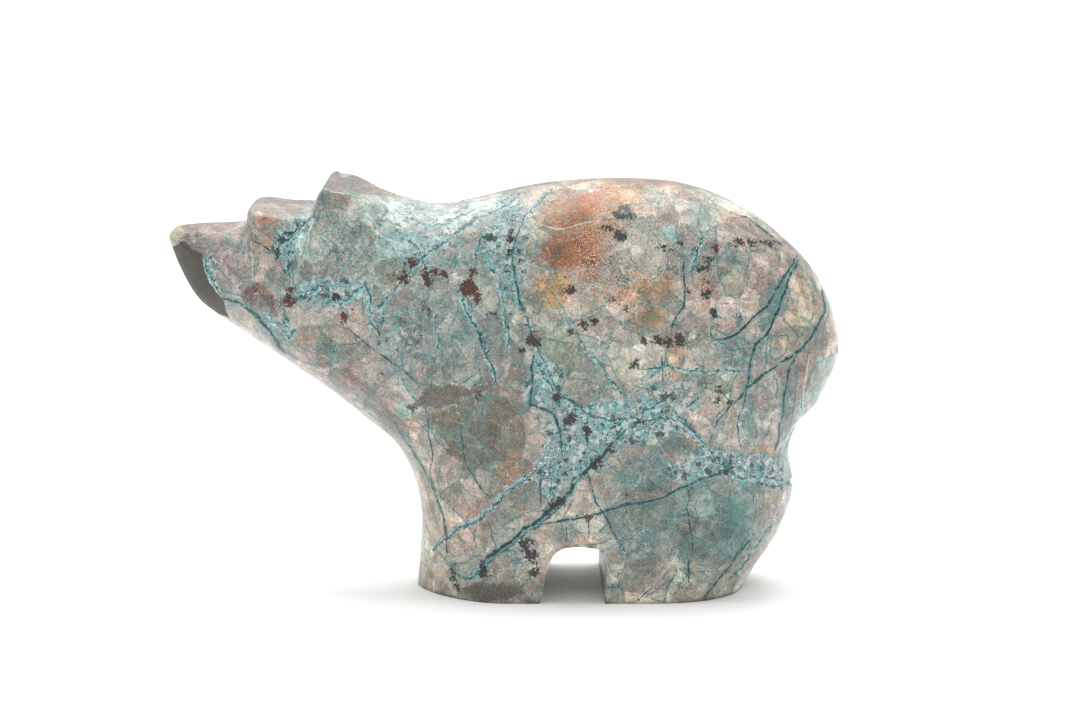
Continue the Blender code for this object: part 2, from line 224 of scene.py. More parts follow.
# Smaller patches without crisp outlines, given as the broad areas are
GROUND_PATCHES = (
    ("pale_grey", (350, 258), (40, 40), 0.5), ("tan", (177, 236), (10, 14), 1.0),
    ("mauve", (240, 320), (20, 11), 0.6), ("olive_grey", (262, 252), (10, 12), 0.5),
    ("pink_beige", (350, 334), (13, 16), 0.7), ("mauve", (330, 370), (24, 12), 0.8),
    ("rust", (352, 370), (8, 12), 0.35), ("turquoise", (284, 246), (9, 14), 0.6),
    # The brown grey at (392, 412) is a dark vein's colour with painted shade where the chest's
    # front turns away from the light
    ("deep_teal_grey", (288, 270), (7, 12), 0.8), ("brown_grey", (392, 412), (16, 22), 0.6),
    ("deep_teal_grey", (697, 498), (12, 16), 0.5), ("pale_grey", (374, 298), (18, 22), 0.8),
    ("deep_teal_grey", (777, 294), (15, 18), 0.6), ("brown_grey", (266, 236), (12, 12), 0.6),
    ("brown_grey", (334, 200), (15, 10), 0.7), ("dull_light", (325, 199), (6, 13), 0.8),
    ("cream", (662, 578), (50, 24), 0.4), ("pink_cream", (457, 522), (20, 44), 0.6),
    ("pale_grey", (750, 352), (32, 10), 0.7), ("pink_beige", (683, 328), (13, 10), 0.9),
    ("warm_taupe", (252, 320), (26, 11), 0.9), ("brown_grey", (268, 288), (9, 8), 0.6),
    ("deep_teal_grey", (283, 287), (6, 9), 0.6), ("taupe", (447, 472), (16, 13), 0.9),
    ("deep_teal_grey", (467, 471), (10, 9), 0.5), ("teal_grey", (688, 548), (14, 18), 0.9),
    ("pale_grey", (508, 328), (10, 12), 0.6), ("pale_grey", (348, 278), (14, 18), 0.9),
    ("pale_turquoise", (314, 288), (18, 7), 0.8), ("cream", (717, 228), (15, 12), 0.7),
    ("cream", (728, 385), (13, 11), 0.6), ("deep_teal_grey", (597, 434), (14, 10), 0.8),
    ("deep_teal_grey", (465, 338), (11, 12), 0.8), ("warm_taupe", (560, 337), (14, 8), 0.8),
    ("teal_grey", (309, 254), (8, 14), 0.8), ("pale_grey", (681, 266), (12, 12), 0.8),
    ("grey", (272, 278), (10, 12), 0.9), ("pink_cream", (562, 516), (13, 8), 0.7),
    ("pink_cream", (429, 482), (8, 13), 0.8), ("beige", (526, 242), (9, 12), 0.7),
    ("pink_beige", (669, 302), (12, 9), 0.8), ("pale_grey", (489, 530), (11, 9), 0.8),
    ("peach", (621, 196), (16, 9), 0.8), ("beige", (722, 407), (13, 9), 0.7),
    ("teal_grey", (748, 418), (9, 20), 0.8), ("deep_teal_grey", (788, 408), (8, 22), 0.6),
    ("teal_grey", (764, 436), (12, 8), 0.7), ("pale_grey", (684, 432), (13, 9), 0.8),
    ("teal_grey", (404, 407), (12, 10), 0.8), ("brown_grey", (427, 410), (10, 7), 0.8),
    ("warm_taupe", (428, 440), (9, 18), 0.8), ("cream", (781, 350), (13, 12), 0.9),
    ("dull_light", (494, 592), (36, 9), 0.9), ("warm_taupe", (214, 302), (14, 12), 0.7),
    ("deep_teal_grey", (258, 306), (18, 10), 0.4), ("pink_cream", (256, 220), (6, 12), 0.6),
    ("pink_cream", (772, 262), (12, 14), 0.8), ("deep_teal_grey", (278, 334), (16, 12), 0.6),
    # The pale turquoise at (400, 212) is part stone colour, part painted sheen on the top of the
    # neck
    ("warm_taupe", (358, 300), (9, 9), 0.5), ("pale_turquoise", (400, 212), (40, 12), 0.5),
    ("grey", (440, 262), (14, 12), 0.6), ("grey", (400, 345), (20, 18), 0.5),
    ("grey", (450, 352), (16, 16), 0.6), ("deep_teal_grey", (464, 440), (8, 20), 0.35),
    ("orange", (410, 425), (8, 10), 0.4), ("pink_beige", (424, 500), (10, 30), 0.7),
    ("beige", (432, 575), (16, 14), 0.6), ("warm_taupe", (538, 436), (9, 10), 0.6),
    ("grey", (500, 525), (16, 14), 0.5), ("grey", (430, 455), (10, 12), 0.5),
    ("grey", (566, 530), (16, 12), 0.6), ("beige", (552, 215), (24, 26), 0.7),
    ("olive_grey", (527, 258), (13, 16), 0.6), ("orange", (574, 214), (14, 10), 0.6),
    ("rust", (592, 254), (8, 11), 0.5), ("ochre", (555, 292), (18, 17), 1.0),
    ("olive_grey", (542, 275), (12, 12), 0.5), ("beige", (620, 215), (24, 26), 0.6),
    ("warm_taupe", (650, 205), (28, 15), 0.75), ("ochre", (620, 196), (26, 9), 0.6),
    ("pink_beige", (640, 255), (22, 20), 0.7), ("olive_grey", (628, 268), (14, 12), 0.5),
    ("olive_grey", (588, 310), (16, 14), 0.8), ("rust", (597, 289), (6, 9), 0.5),
    ("ochre", (647, 287), (24, 10), 0.6), ("ochre", (645, 320), (22, 10), 0.7),
    ("pink_beige", (660, 262), (14, 16), 0.5), ("taupe", (636, 348), (18, 12), 0.8),
    ("beige", (624, 372), (22, 16), 0.5), ("pale_turquoise", (671, 232), (9, 10), 0.8),
    ("pale_turquoise", (704, 222), (15, 20), 0.5), ("cream", (669, 200), (4, 10), 0.3),
    ("white", (687, 216), (7, 6), 0.4), ("orange", (665, 184), (26, 6), 0.5),
    ("ochre", (690, 190), (14, 9), 0.4), ("pink_beige", (730, 219), (11, 11), 0.8),
    ("pink_beige", (765, 236), (18, 10), 0.6), ("grey", (745, 257), (17, 11), 0.9),
    ("taupe", (752, 306), (15, 14), 0.7), ("orange", (676, 362), (13, 14), 0.4),
    ("orange", (686, 394), (9, 9), 0.5), ("pink_beige", (700, 416), (16, 11), 0.8),
    ("taupe", (725, 435), (13, 9), 0.7), ("beige", (646, 436), (10, 8), 0.8),
    ("rust", (590, 479), (5, 8), 0.3), ("pale_grey", (706, 512), (10, 17), 0.6),
    ("sea", (722, 528), (26, 34), 0.5), ("deep_teal_grey", (728, 515), (16, 26), 0.4),
    ("sea", (736, 512), (12, 24), 0.25), ("teal_grey", (662, 546), (20, 15), 0.8),
    ("sea", (640, 542), (6, 16), 0.6), ("pale_grey", (632, 572), (24, 18), 0.7),
    ("olive_grey", (617, 556), (7, 8), 0.6), ("deep_teal_grey", (618, 590), (14, 8), 0.5),
    ("pink_cream", (656, 590), (38, 13), 0.8), ("pale_grey", (642, 566), (14, 10), 0.9),
    ("pale_grey", (744, 570), (16, 26), 0.4), ("beige", (776, 496), (12, 10), 0.8),
    ("ochre", (768, 456), (14, 8), 0.7), ("ochre", (508, 466), (14, 12), 0.5),
    ("orange", (506, 493), (7, 4), 0.8), ("orange", (517, 485), (8, 4), 0.8),
    ("olive_grey", (766, 500), (7, 7), 0.7), ("olive_grey", (512, 590), (30, 7), 0.5),
    ("teal_grey", (698, 212), (12, 20), 0.7), ("pale_grey", (511, 372), (9, 12), 0.8),
    ("olive_grey", (560, 341), (15, 12), 0.7), ("maroon", (250, 303), (7, 6), 0.5),
    ("white", (308, 220), (7, 9), 0.5), ("pale_turquoise", (298, 231), (8, 10), 0.8),
    ("deep_teal_grey", (272, 280), (8, 10), 0.5), ("mauve", (306, 352), (18, 10), 0.7),
    ("mauve", (226, 268), (28, 22), 0.7),
)

# How soft an outline is to both sides: shares of a broad area's and a patch's radius, pixels of a
# rock piece
AREA_SOFTNESS = 0.5
PATCH_SOFTNESS = 0.25
PIECE_SOFTNESS = 1.2

# Veins in the same pixels, each with the half width of its stained band first. Those of one group
# do not cross, apart from two short ones.
TURQUOISE_VEINS = (
    (3.2, ((300, 293), (312, 292), (322, 288), (336, 298), (344, 303), (355, 294), (364, 288),
        (369, 296), (368, 317))),
    (1.6, ((372, 316), (381, 306), (391, 294), (400, 284), (414, 266), (429, 253), (448, 239),
        (467, 226), (486, 216), (507, 205), (522, 191))),
    (2.4, ((204, 258), (206, 267), (210, 276), (214, 286), (222, 297))),
    (3.0, ((274, 253), (280, 247), (287, 242), (293, 236), (302, 226), (312, 217))),
    (2.4, ((288, 252), (287, 268), (289, 284))),
    (1.8, ((459, 284), (466, 312), (476, 327), (484, 341), (487, 357), (496, 372), (494, 388))),
    (1.4, ((556, 186), (545, 195), (532, 208), (522, 221), (516, 236), (511, 250), (514, 268),
        (516, 285), (521, 304), (527, 322), (533, 337))),
    (2.2, ((565, 449), (549, 461), (538, 469), (528, 477), (515, 486), (503, 494), (492, 506),
        (481, 518), (457, 528), (449, 537), (437, 544), (433, 552))),
    (2.0, ((600, 456), (588, 469), (575, 482), (570, 492), (562, 503), (547, 516), (534, 528),
        (522, 535), (511, 545), (500, 552), (488, 562), (480, 569), (470, 578), (458, 574))),
    (3.4, ((534, 356), (541, 375), (551, 388), (563, 398), (576, 406), (587, 415), (610, 421),
        (635, 418), (653, 408), (669, 398))),
    (2.6, ((676, 412), (692, 433), (704, 446), (716, 458), (726, 471), (742, 479), (767, 478),
        (789, 482))),
    (1.6, ((805, 383), (802, 402), (798, 420), (789, 436), (784, 452))),
    (1.2, ((774, 519), (756, 546), (742, 567), (724, 582))),
    (1.2, ((576, 337), (584, 346), (593, 358), (603, 368), (609, 379), (618, 389), (630, 402))),
    (1.4, ((711, 324), (709, 338), (723, 344))),
    (1.2, ((616, 539), (622, 546), (628, 556))),
)
CROSSING_TURQUOISE_VEINS = (
    (1.6, ((284, 306), (285, 320), (288, 337), (300, 327))),
    (1.6, ((269, 322), (281, 325), (286, 337))),
    (1.4, ((533, 337), (540, 352), (548, 372), (556, 390), (566, 408))),
    (1.6, ((552, 456), (549, 470), (551, 484), (549, 500))),
    (1.2, ((556, 452), (560, 466), (556, 482))),
    (1.4, ((640, 421), (655, 419), (674, 420), (690, 428))),
    (2.0, ((588, 416), (584, 430), (588, 446), (598, 456))),
    (1.6, ((700, 232), (698, 250), (693, 261), (691, 281))),
    (1.4, ((640, 371), (663, 367), (700, 372), (746, 371))),
    (1.0, ((668, 346), (662, 366), (643, 385))),
    (1.0, ((440, 300), (434, 322), (438, 345), (432, 366))),
    (1.2, ((402, 216), (430, 228), (452, 222), (480, 206))),
    (1.0, ((404, 236), (420, 252), (428, 275))),
    (1.2, ((483, 236), (476, 252), (474, 268))),
    (1.2, ((500, 285), (503, 305), (506, 328), (508, 345), (506, 360))),
    (1.0, ((514, 360), (524, 370))),
    (1.2, ((497, 549), (492, 534), (489, 520))),
    (1.0, ((762, 470), (768, 488), (790, 484))),
)
DARK_VEINS = (
    (2.4, ((222, 298), (240, 304), (250, 311), (260, 318), (269, 330), (276, 341), (286, 354))),
    (1.2, ((252, 241), (262, 244), (274, 254))),
    (0.9, ((368, 318), (374, 325), (379, 333), (378, 345))),
    (2.2, ((472, 322), (480, 336), (485, 354))),
    (1.0, ((511, 250), (514, 268), (516, 285), (521, 304), (526, 320))),
    (1.8, ((533, 356), (531, 370), (532, 385), (530, 404), (543, 409), (554, 415), (559, 429),
        (562, 452))),
    (2.6, ((626, 430), (606, 451), (595, 463), (585, 473), (573, 479), (572, 488), (562, 500),
        (546, 513), (534, 524), (522, 531), (511, 541), (500, 549), (488, 558), (480, 567))),
    (1.5, ((543, 523), (560, 521), (588, 517), (606, 510), (626, 505), (650, 501), (660, 498),
        (670, 493), (686, 486), (703, 479), (716, 474), (727, 470))),
    (1.3, ((541, 470), (540, 490), (541, 507))),
    (1.2, ((395, 422), (401, 433), (412, 449), (420, 463), (428, 476), (433, 490), (439, 505),
        (443, 518), (446, 534), (447, 554))),
    (1.6, ((798, 256), (785, 275), (776, 290), (768, 306), (754, 317), (742, 329), (731, 337),
        (713, 341))),
    (1.7, ((822, 290), (826, 310), (814, 331), (804, 346), (791, 357), (774, 368), (757, 381),
        (746, 389), (733, 405))),
    (1.0, ((684, 256), (683, 269), (685, 290), (684, 306), (673, 321), (672, 334))),
    (1.0, ((754, 534), (736, 556), (719, 581), (704, 597))),
    (1.0, ((741, 410), (737, 425), (741, 446))),
    (1.0, ((702, 357), (703, 374), (706, 385), (699, 398), (688, 407))),
    (0.8, ((689, 488), (688, 513), (691, 537), (693, 546), (689, 566), (688, 586))),
    (1.2, ((454, 572), (458, 586))),
    (0.9, ((587, 509), (589, 520), (587, 541))),
)
CROSSING_DARK_VEINS = (
    (1.0, ((346, 327), (363, 341), (379, 353), (400, 368), (419, 384))),
    (1.6, ((799, 260), (790, 275), (785, 293), (779, 309), (773, 321), (767, 334), (756, 344),
        (751, 360), (748, 378), (746, 391), (742, 410))),
    (1.1, ((589, 473), (591, 488), (596, 503), (603, 511), (610, 526), (616, 539))),
    (1.5, ((796, 355), (788, 371), (785, 389), (783, 412), (779, 430), (774, 463))),
    (0.9, ((718, 389), (732, 403), (719, 420), (713, 430))),
    (0.8, ((661, 350), (662, 364), (663, 386))),
    (1.0, ((549, 390), (556, 396), (574, 401), (586, 414))),
    (0.8, ((427, 412), (428, 432), (433, 453), (430, 470), (432, 483), (437, 497))),
    (0.9, ((461, 425), (462, 445), (466, 463), (478, 484), (491, 500))),
    (0.7, ((475, 524), (475, 540), (478, 550))),
    (1.0, ((638, 600), (652, 586), (664, 574))),
    (0.8, ((730, 212), (747, 218), (762, 229), (784, 247))),
    (0.8, ((564, 521), (566, 534), (565, 545))),
)
FINE_VEINS = (
    (0.9, ((767, 307), (770, 321), (767, 348), (766, 369))),
    (0.8, ((704, 197), (699, 215), (700, 232))),
    (0.7, ((681, 185), (674, 207), (668, 224), (662, 235))),
    (0.8, ((716, 212), (716, 238), (716, 256), (719, 278), (726, 292), (735, 299), (744, 294),
        (751, 284))),
    (1.0, ((798, 360), (796, 386), (793, 412), (786, 440))),
    (0.8, ((751, 390), (752, 413), (756, 433), (754, 453))),
    (0.8, ((699, 493), (695, 509), (699, 526))),
    (0.8, ((731, 480), (729, 506), (727, 538), (722, 556))),
    (0.8, ((677, 218), (677, 240), (666, 253), (668, 269))),
    (0.8, ((538, 335), (556, 341), (575, 344))),
    (0.7, ((575, 346), (568, 373), (562, 392))),
    (0.7, ((622, 247), (612, 262), (600, 276))),
    (0.7, ((626, 249), (632, 260), (640, 272))),
    (0.7, ((457, 410), (469, 418), (488, 430), (503, 441), (517, 453))),
    (0.7, ((683, 345), (700, 356))),
    (0.7, ((777, 323), (788, 337), (794, 342))),
    (0.7, ((736, 301), (737, 318), (738, 328))),
    (0.7, ((666, 185), (658, 205), (656, 218))),
    (0.8, ((831, 304), (824, 330), (818, 352))),
    (0.7, ((441, 456), (438, 481), (441, 501))),
    (0.7, ((562, 206), (563, 222), (561, 232))),
    (0.7, ((600, 347), (610, 362), (616, 376), (628, 392))),
    (0.8, ((530, 250), (505, 236), (488, 238))),
    (0.8, ((412, 420), (408, 436), (414, 448))),
    (0.7, ((320, 232), (336, 246), (352, 262), (360, 282))),
    (0.7, ((652, 437), (640, 448), (646, 462))),
    (0.7, ((588, 477), (592, 490), (594, 500))),
)
# Pale veins, among them painted highlights: the lines along the brow's edge, the near ear's top
# edge and its ridge, and the forehead's near top edge
PALE_VEINS_AND_EDGE_HIGHLIGHTS = (
    (2.2, ((679, 552), (670, 566), (658, 580), (645, 592), (637, 600))),
    (1.3, ((540, 226), (556, 229), (572, 227), (588, 222), (600, 219))),
    (1.4, ((810, 355), (804, 386), (802, 412), (790, 432), (776, 452))),
    (0.8, ((251, 236), (252, 262), (253, 282))),
    (0.8, ((326, 191), (344, 193), (359, 195), (373, 197))),
    (0.9, ((319, 209), (311, 230), (307, 250), (303, 272))),
    (1.0, ((271, 218), (284, 219), (297, 221))),
    (0.9, ((456, 410), (455, 398))),
    (1.0, ((485, 404), (484, 418))),
    (1.2, ((735, 299), (748, 303), (760, 301))),
    (1.0, ((436, 345), (437, 356))),
    (0.9, ((566, 384), (574, 372), (590, 376))),
    (0.9, ((470, 362), (462, 350), (456, 340))),
    (1.3, ((668, 190), (664, 202), (662, 212))),
    (1.0, ((655, 470), (668, 478), (680, 484))),
)
# The groups by the names that they are stored under
VEIN_GROUPS = {
    "turquoise_a": TURQUOISE_VEINS,
    "turquoise_b": CROSSING_TURQUOISE_VEINS,
    "dark_a": DARK_VEINS,
    "dark_b": CROSSING_DARK_VEINS,
    "fine": FINE_VEINS,
    "pale": PALE_VEINS_AND_EDGE_HIGHLIGHTS,
}
# A vein's share of its width at its ends, and in pixels: how long it takes to widen, how far past
# an end it still counts, where its nearness and its width fade out, and what stands for no vein
THIN_END = 0.35
TAPER_LENGTH = 16
END_SLACK = 1.5
NEARNESS_FADE = (11, 6)
WIDTH_FADE = (9, 6)
VEINLESS = 40.0

# Blotches in the same pixels: centre, half width and half height
RED_BROWN_BLOTCHES = (
    ((404, 277), (4, 7)), ((413, 263), (7, 4)), ((427, 276), (4, 10)), ((443, 275), (5, 4)),
    ((469, 288), (9, 9)), ((477, 296), (4, 8)), ((472, 272), (4, 5)), ((435, 271), (4, 3)),
    ((289, 301), (7, 6)), ((290, 290), (5, 4)), ((382, 374), (2.5, 2.5)), ((344, 318), (4, 6)),
    ((424, 304), (2, 4)), ((422, 337), (3, 3)), ((571, 332), (3, 2.5)), ((589, 517), (3, 3)),
    ((716, 247), (3.5, 4)), ((428, 312), (2, 3)), ((620, 268), (1.5, 2)), ((665, 397), (4, 2)),
    ((324, 294), (2.5, 2)),
)
BROWN_BLACK_BLOTCHES = (
    ((533, 341), (7, 8)), ((522, 350), (4, 4)), ((571, 289), (4, 5)), ((583, 323), (4, 3)),
    ((594, 322), (4, 3)), ((587, 327), (3, 3)), ((643, 341), (4, 4)), ((657, 341), (5, 5)),
    ((668, 343), (5, 6)), ((679, 340), (5, 6)), ((680, 244), (4, 5)), ((664, 247), (4, 2.5)),
    ((739, 242), (6, 3)), ((751, 243), (5, 3)), ((768, 243), (9, 1.6)), ((689, 293), (2, 3)),
    ((557, 504), (9, 5)), ((596, 463), (7, 6)), ((571, 419), (7, 6)), ((587, 430), (4, 8)),
    ((611, 450), (5, 5)), ((526, 543), (7, 7)), ((531, 557), (7, 8)), ((534, 572), (5, 5)),
    ((483, 570), (4, 8)), ((457, 586), (3, 4)), ((453, 574), (2.5, 5)), ((510, 239), (4, 5)),
    ((508, 252), (3, 4)), ((640, 421), (4, 3)), ((618, 424), (3, 3)), ((838, 349), (2.5, 3)),
    ((479, 395), (2.5, 6)), ((412, 407), (5, 3)), ((336, 298), (4, 4)), ((725, 472), (5, 3)),
    ((548, 512), (4, 3)), ((612, 300), (2, 2)), ((626, 308), (2, 2)), ((557, 397), (4, 4)),
)
DARK_GREEN_BLOTCHES = (
    ((624, 212), (9, 6)), ((631, 216), (5, 4)), ((620, 235), (7, 6)), ((608, 229), (6, 4)),
    ((703, 268), (7, 5)), ((709, 260), (4, 5)), ((706, 295), (5, 4)), ((704, 283), (3, 3)),
    ((714, 312), (4, 5)), ((717, 389), (4, 4)), ((718, 401), (3, 3)), ((729, 402), (3, 3)),
    ((286, 234), (5, 3)), ((276, 252), (3, 5)), ((633, 364), (5, 4)), ((490, 238), (7, 3)),
    ((494, 314), (4, 2.5)), ((282, 240), (3, 3)),
)
# The kinds with their colours, and how deep in pixels a blotch counts: the less, the more its
# inside breaks up too
BLOTCH_KINDS = {
    "red_brown": (RED_BROWN_BLOTCHES, 3.5),
    "brown_black": (BROWN_BLACK_BLOTCHES, 1.8),
    "dark_green": (DARK_GREEN_BLOTCHES, 1.5),
}
# Pixels at which an outline of a rock piece or a blotch is too far off to matter
FAR_OFF = 30.0

# Zones of speckle in the same pixels: centre, half width, half height and strength
RUST_ZONES = (
    ((586, 216), (62, 36), 1.0), ((640, 290), (44, 28), 0.8), ((576, 252), (46, 34), 1.0),
    ((262, 225), (16, 22), 0.6), ((515, 486), (16, 8), 0.9), ((594, 482), (10, 14), 0.6),
    ((752, 453), (13, 8), 0.8), ((500, 470), (14, 8), 0.5), ((520, 512), (10, 10), 0.5),
    ((352, 372), (12, 14), 0.4), ((580, 500), (14, 12), 0.3), ((676, 362), (14, 12), 0.3),
    ((365, 186), (12, 6), 0.3), ((708, 292), (9, 34), 0.7),
)
DUST_ZONES = (
    ((450, 232), (110, 44), 0.26), ((450, 320), (70, 60), 0.2), ((505, 250), (24, 70), 0.5),
    ((610, 424), (70, 22), 1.0), ((575, 440), (28, 40), 0.9), ((730, 468), (70, 16), 0.8),
    ((330, 292), (50, 16), 0.55), ((284, 246), (14, 18), 0.75), ((264, 327), (13, 15), 0.5),
    ((306, 224), (14, 10), 0.45), ((553, 470), (14, 34), 0.8), ((700, 232), (44, 36), 0.15),
    ((210, 278), (8, 30), 0.6), ((400, 335), (30, 40), 0.3), ((545, 385), (22, 26), 0.7),
    ((776, 478), (30, 10), 0.8), ((640, 545), (24, 20), 0.25), ((740, 355), (40, 24), 0.25),
    ((340, 240), (40, 40), 0.25), ((510, 548), (50, 26), 0.25), ((670, 400), (34, 24), 0.45),
    ((600, 370), (30, 30), 0.2),
)
CREAM_ZONES = (
    ((620, 250), (60, 50), 0.7), ((626, 306), (22, 14), 0.9), ((706, 298), (10, 20), 1.0),
    ((688, 216), (12, 8), 0.9), ((600, 425), (60, 22), 0.5), ((545, 205), (26, 20), 0.5),
    ((575, 290), (40, 30), 0.4), ((450, 215), (90, 20), 0.5),
)
# Shares of a zone's radius between which its strength comes in
ZONE_FADE = (1.25, 0.55)

# Flat dull patches in the same pixels, corner by corner
SHOULDER_PATCH = (
    (410, 406), (418, 399), (428, 389), (441, 385), (457, 383), (461, 387), (472, 391), (480, 388),
    (478, 395), (463, 397), (457, 403), (441, 406), (428, 407),
)
SOLE_PATCH = (
    (463, 589), (478, 583), (498, 585), (520, 588), (523, 592), (505, 600), (480, 601),
)
CHIN_PATCH = (
    (173, 246), (185, 240), (191, 249), (202, 254), (205, 268), (209, 282), (215, 291), (223, 300),
    (229, 318), (180, 300), (160, 250),
)

# Fine relief in the same pixels: half width in pixels, height in metres and the line of a ridge,
# then the centre, half sizes and depth in metres of a chip
RIDGES = (
    (7.0, 0.0004, ((326, 190), (321, 200), (318, 216), (309, 240), (304, 264))),
    (6.0, 0.00025, ((251, 211), (251, 236), (253, 264))),
)
CHIPS = (
    ((789, 481), (6, 5), 0.0005), ((176, 236), (6, 5), 0.00025), ((186, 240), (5, 6), 0.0003),
    ((196, 238), (4, 6), 0.00025), ((205, 243), (4, 5), 0.0002),
)
# Shares of a chip's radius between which it deepens, and where across the figure, in metres, the
# chips set in
CHIP_WALL = (1.0, 0.3)
CHIP_SIDE = (0.006, 0.0)
# Length and height in metres of the waves that the hand-polished surface has
WAVE_LENGTH = 0.009
WAVE_HEIGHT = 0.00014
# Heights in metres between which the relief sets in above the soles, and how far off the ground a
# point still belongs to the flat soles
RELIEF_START = (0.0004, 0.0040)
SOLE_SLACK = 0.00003

# Where the pattern of the far side comes in, across the figure in metres, and the pixels by which
# that side's blotches and dull patches are put off
FAR_SIDE = (-0.002, 0.004)
PUT_OFF = 12.0
# Heights in metres between which the far ear's pinkish rock comes in, and where along the figure
# the ears end and the neck starts
FAR_EAR = (0.0535, 0.0560)
NECK_START = -0.018
# Random bends in the features: their size in metres and their reach in pixels
FAR_BENDS = (0.012, 26.0)
LOOSE_BENDS = (0.006, 8.0)
SMALL_BENDS = (0.0024, 4.0)
TIGHT_BENDS = (0.0022, 1.6)
PIECE_BENDS = (0.004, 4.0)
# Metres from one random field to the next, so that no two bend alike
FIELD_STEP = 1.0
# Starts the random offsets, which would otherwise differ from run to run
SEED = 5

# Material of the stone. Its places are in millimetres, and its noises lie round their middle.
MM_PER_METRE = 1000.0
MIDDLE = 0.5
# Noises over the whole stone: bends per millimetre, detail and roughness, then for some the scale
# and the reach of what moves their places about, and how much their places are drawn together
NOISES = {
    "coarse": (0.8, 2.0, 0.55),
    "fine": (2.6, 3.0, 0.55),
    "grain": (3.2, 4.0, 0.70),
    "dots": (6.0, 1.0, 0.55),
    "speck": (2.2, 3.0, 0.65),
    "other speck": (2.0, 3.0, 0.65, 0.5, 3.0),
    "clump": (1.2, 5.0, 0.75),
    "turquoise grain": (2.2, 4.0, 0.75),
    "dark grain": (1.8, 4.0, 0.75, 0.3, 6.0),
    "white grain": (4.2, 2.0, 0.75, 0.2, 9.0),
    "teal grain": (2.6, 4.0, 0.75, 0.1, 12.0),
    "cloud": (0.45, 8.0, 0.66),
    "fibres": (1.3, 5.0, 0.7, 0.15, 4.0, (2.4, 1.0, 0.5)),
    "warmth": (0.5, 6.0, 0.7, 0.2, 2.0),
    "rust cloud": (0.5, 6.0, 0.65),
    "rim place": (0.5, 3.0, 0.55),
    "streak place": (0.6, 3.0, 0.55),
    "hairline place": (0.8, 3.0, 0.55),
    "ragged": (1.1, 4.0, 0.7),
    "dull grain": (6.5, 1.0, 0.55),
    "polish": (0.6, 4.0, 0.55),
}
# Bends per millimetre and detail of the noise that says where cracks show, and of the one that
# breaks them up
CRACK_PLACES = (0.22, 2.0)
CRACK_BREAKS = (2.6, 2.0)
# The part of a noise's range that counts, and the shades or widths that it is stretched to
RANGES = {
    "cloud": (0.34, 0.66, 0.80, 1.20),
    "fibres": (0.34, 0.66, 0.88, 1.12),
    "grain": (0.34, 0.66, 0.62, 1.34),
    "dots": (0.30, 0.70, 0.84, 1.16),
    "ragged": (0.36, 0.66, 0.0, 2.0),
}
# Where a noise, a zone or a distance starts to show something, where it shows it fully, and for
# some how strongly
SPANS = {
    "teal piece": (0.55, 0.95),
    "pink piece": (0.45, 0.95),
    "pink cloud": (0.50, 0.66, 0.7),
    "teal cloud": (0.48, 0.34, 0.8),
    "soft crack place": (0.40, 0.60, 0.35),
    "crisp crack place": (0.46, 0.56),
    "whole crack": (0.42, 0.52),
    "unstained": (0.7, 0.3),
    "soft rim": (3.0, 0.0),
    "soft rim place": (0.40, 0.60, 0.40),
    "crisp rim": (1.0, 0.3),
    "crisp rim place": (0.44, 0.56, 0.75),
    "streak place": (0.42, 0.58),
    "streak zone": (0.05, 0.5),
    "hairline place": (0.50, 0.60),
    "fleck": (0.60, 0.66, 0.7),
    "pit": (0.61, 0.66, 0.7),
    "cream speck": (0.58, 0.65),
    "cream zone": (0.0, 0.6, 0.8),
    "rust cloud": (0.58, 0.84),
    "rust zone": (0.05, 0.6, 0.55),
    "rust speck": (0.61, 0.68),
    "rust speck zone": (0.1, 0.7, 0.75),
    "dust clump": (0.50, 0.66),
    "dust zone": (0.0, 0.4),
    "vein stain": (1.0, 0.1),
    "stained width": (0.3, 1.6),
    "line": (0.55, -0.35),
    "lined width": (0.15, 0.5),
    "sparkle": (0.54, 0.60, 0.85),
    "turquoise core": (0.38, 0.48, 0.92),
    "dark core": (0.37, 0.45, 0.95),
    "black core": (0.46, 0.54, 0.9),
    "black width": (2.2, 3.2),
    "blotch": (0.4, -0.6, 0.95),
    "dot": (0.27, 0.22, 0.85),
    "chosen dot": (0.86, 0.87),
    "dull patch": (3.0, -2.0, 0.90),
    "light grain": (0.38, 0.50, 0.9),
    "chin": (1.9, 1.1),
    "chin grain": (0.35, 0.65, 0.35),
    "polish": (0.3, 0.7, 0.16),
}
# Pixels by which noises move outlines: veins by the coarse and the fine one, blotches by the
# turquoise grain and the coarse one, the dull patches by the speck and the chin by the fine one
VEIN_WOBBLE = (7.0, 5.0)
BLOTCH_WOBBLE = (20.0, 8.0)
DULL_WOBBLE = 16.0
CHIN_WOBBLE = 3.0
# Shares of the veins' wobble that thin veins and rock pieces have
THIN_WOBBLE = 0.30
RIM_WOBBLE = 0.25

# Broken rock pieces of three sizes: the scale and the reach of what bends them, their scale in
# pieces per millimetre, the range of their tones, how strongly they are tinted, the half width of
# a crack in millimetres and how strongly crisp cracks show
CLAST_LAYERS = (
    ((0.12, 2.0), 0.14, (0.64, 1.34), 0.8, 0.13, 0.85),
    ((0.30, 0.8), 0.30, (0.70, 1.30), 0.6, 0.10, 0.60),
    ((0.80, 0.4), 0.85, (0.74, 1.26), 0.3, 0.07, 0.15),
)
# Times the crack's half width that its soft stain is wide, and its share that is fully dark
CRACK_STAIN = 3
CRACK_CORE = 0.35

# Flowing lines in the dust: the colour, how much the places are drawn together and the scale of
# the noise, then its detail, its roughness and the scale and reach of what bends it. A line lies
# where the noise is less than a width from its middle, and is full within a share of that.
STREAKS = (
    ("teal", (1.0, 1.0, 0.35), 0.45),
    ("turquoise", (0.8, 1.0, 0.5), 0.60),
    ("dark_teal", (1.0, 1.0, 0.7), 0.85),
)
STREAK_NOISE = (4.0, 0.6, 0.5, 0.5)
STREAK_WIDTH = 0.014
STREAK_CORE = 0.2
STREAK_STRENGTH = 0.85
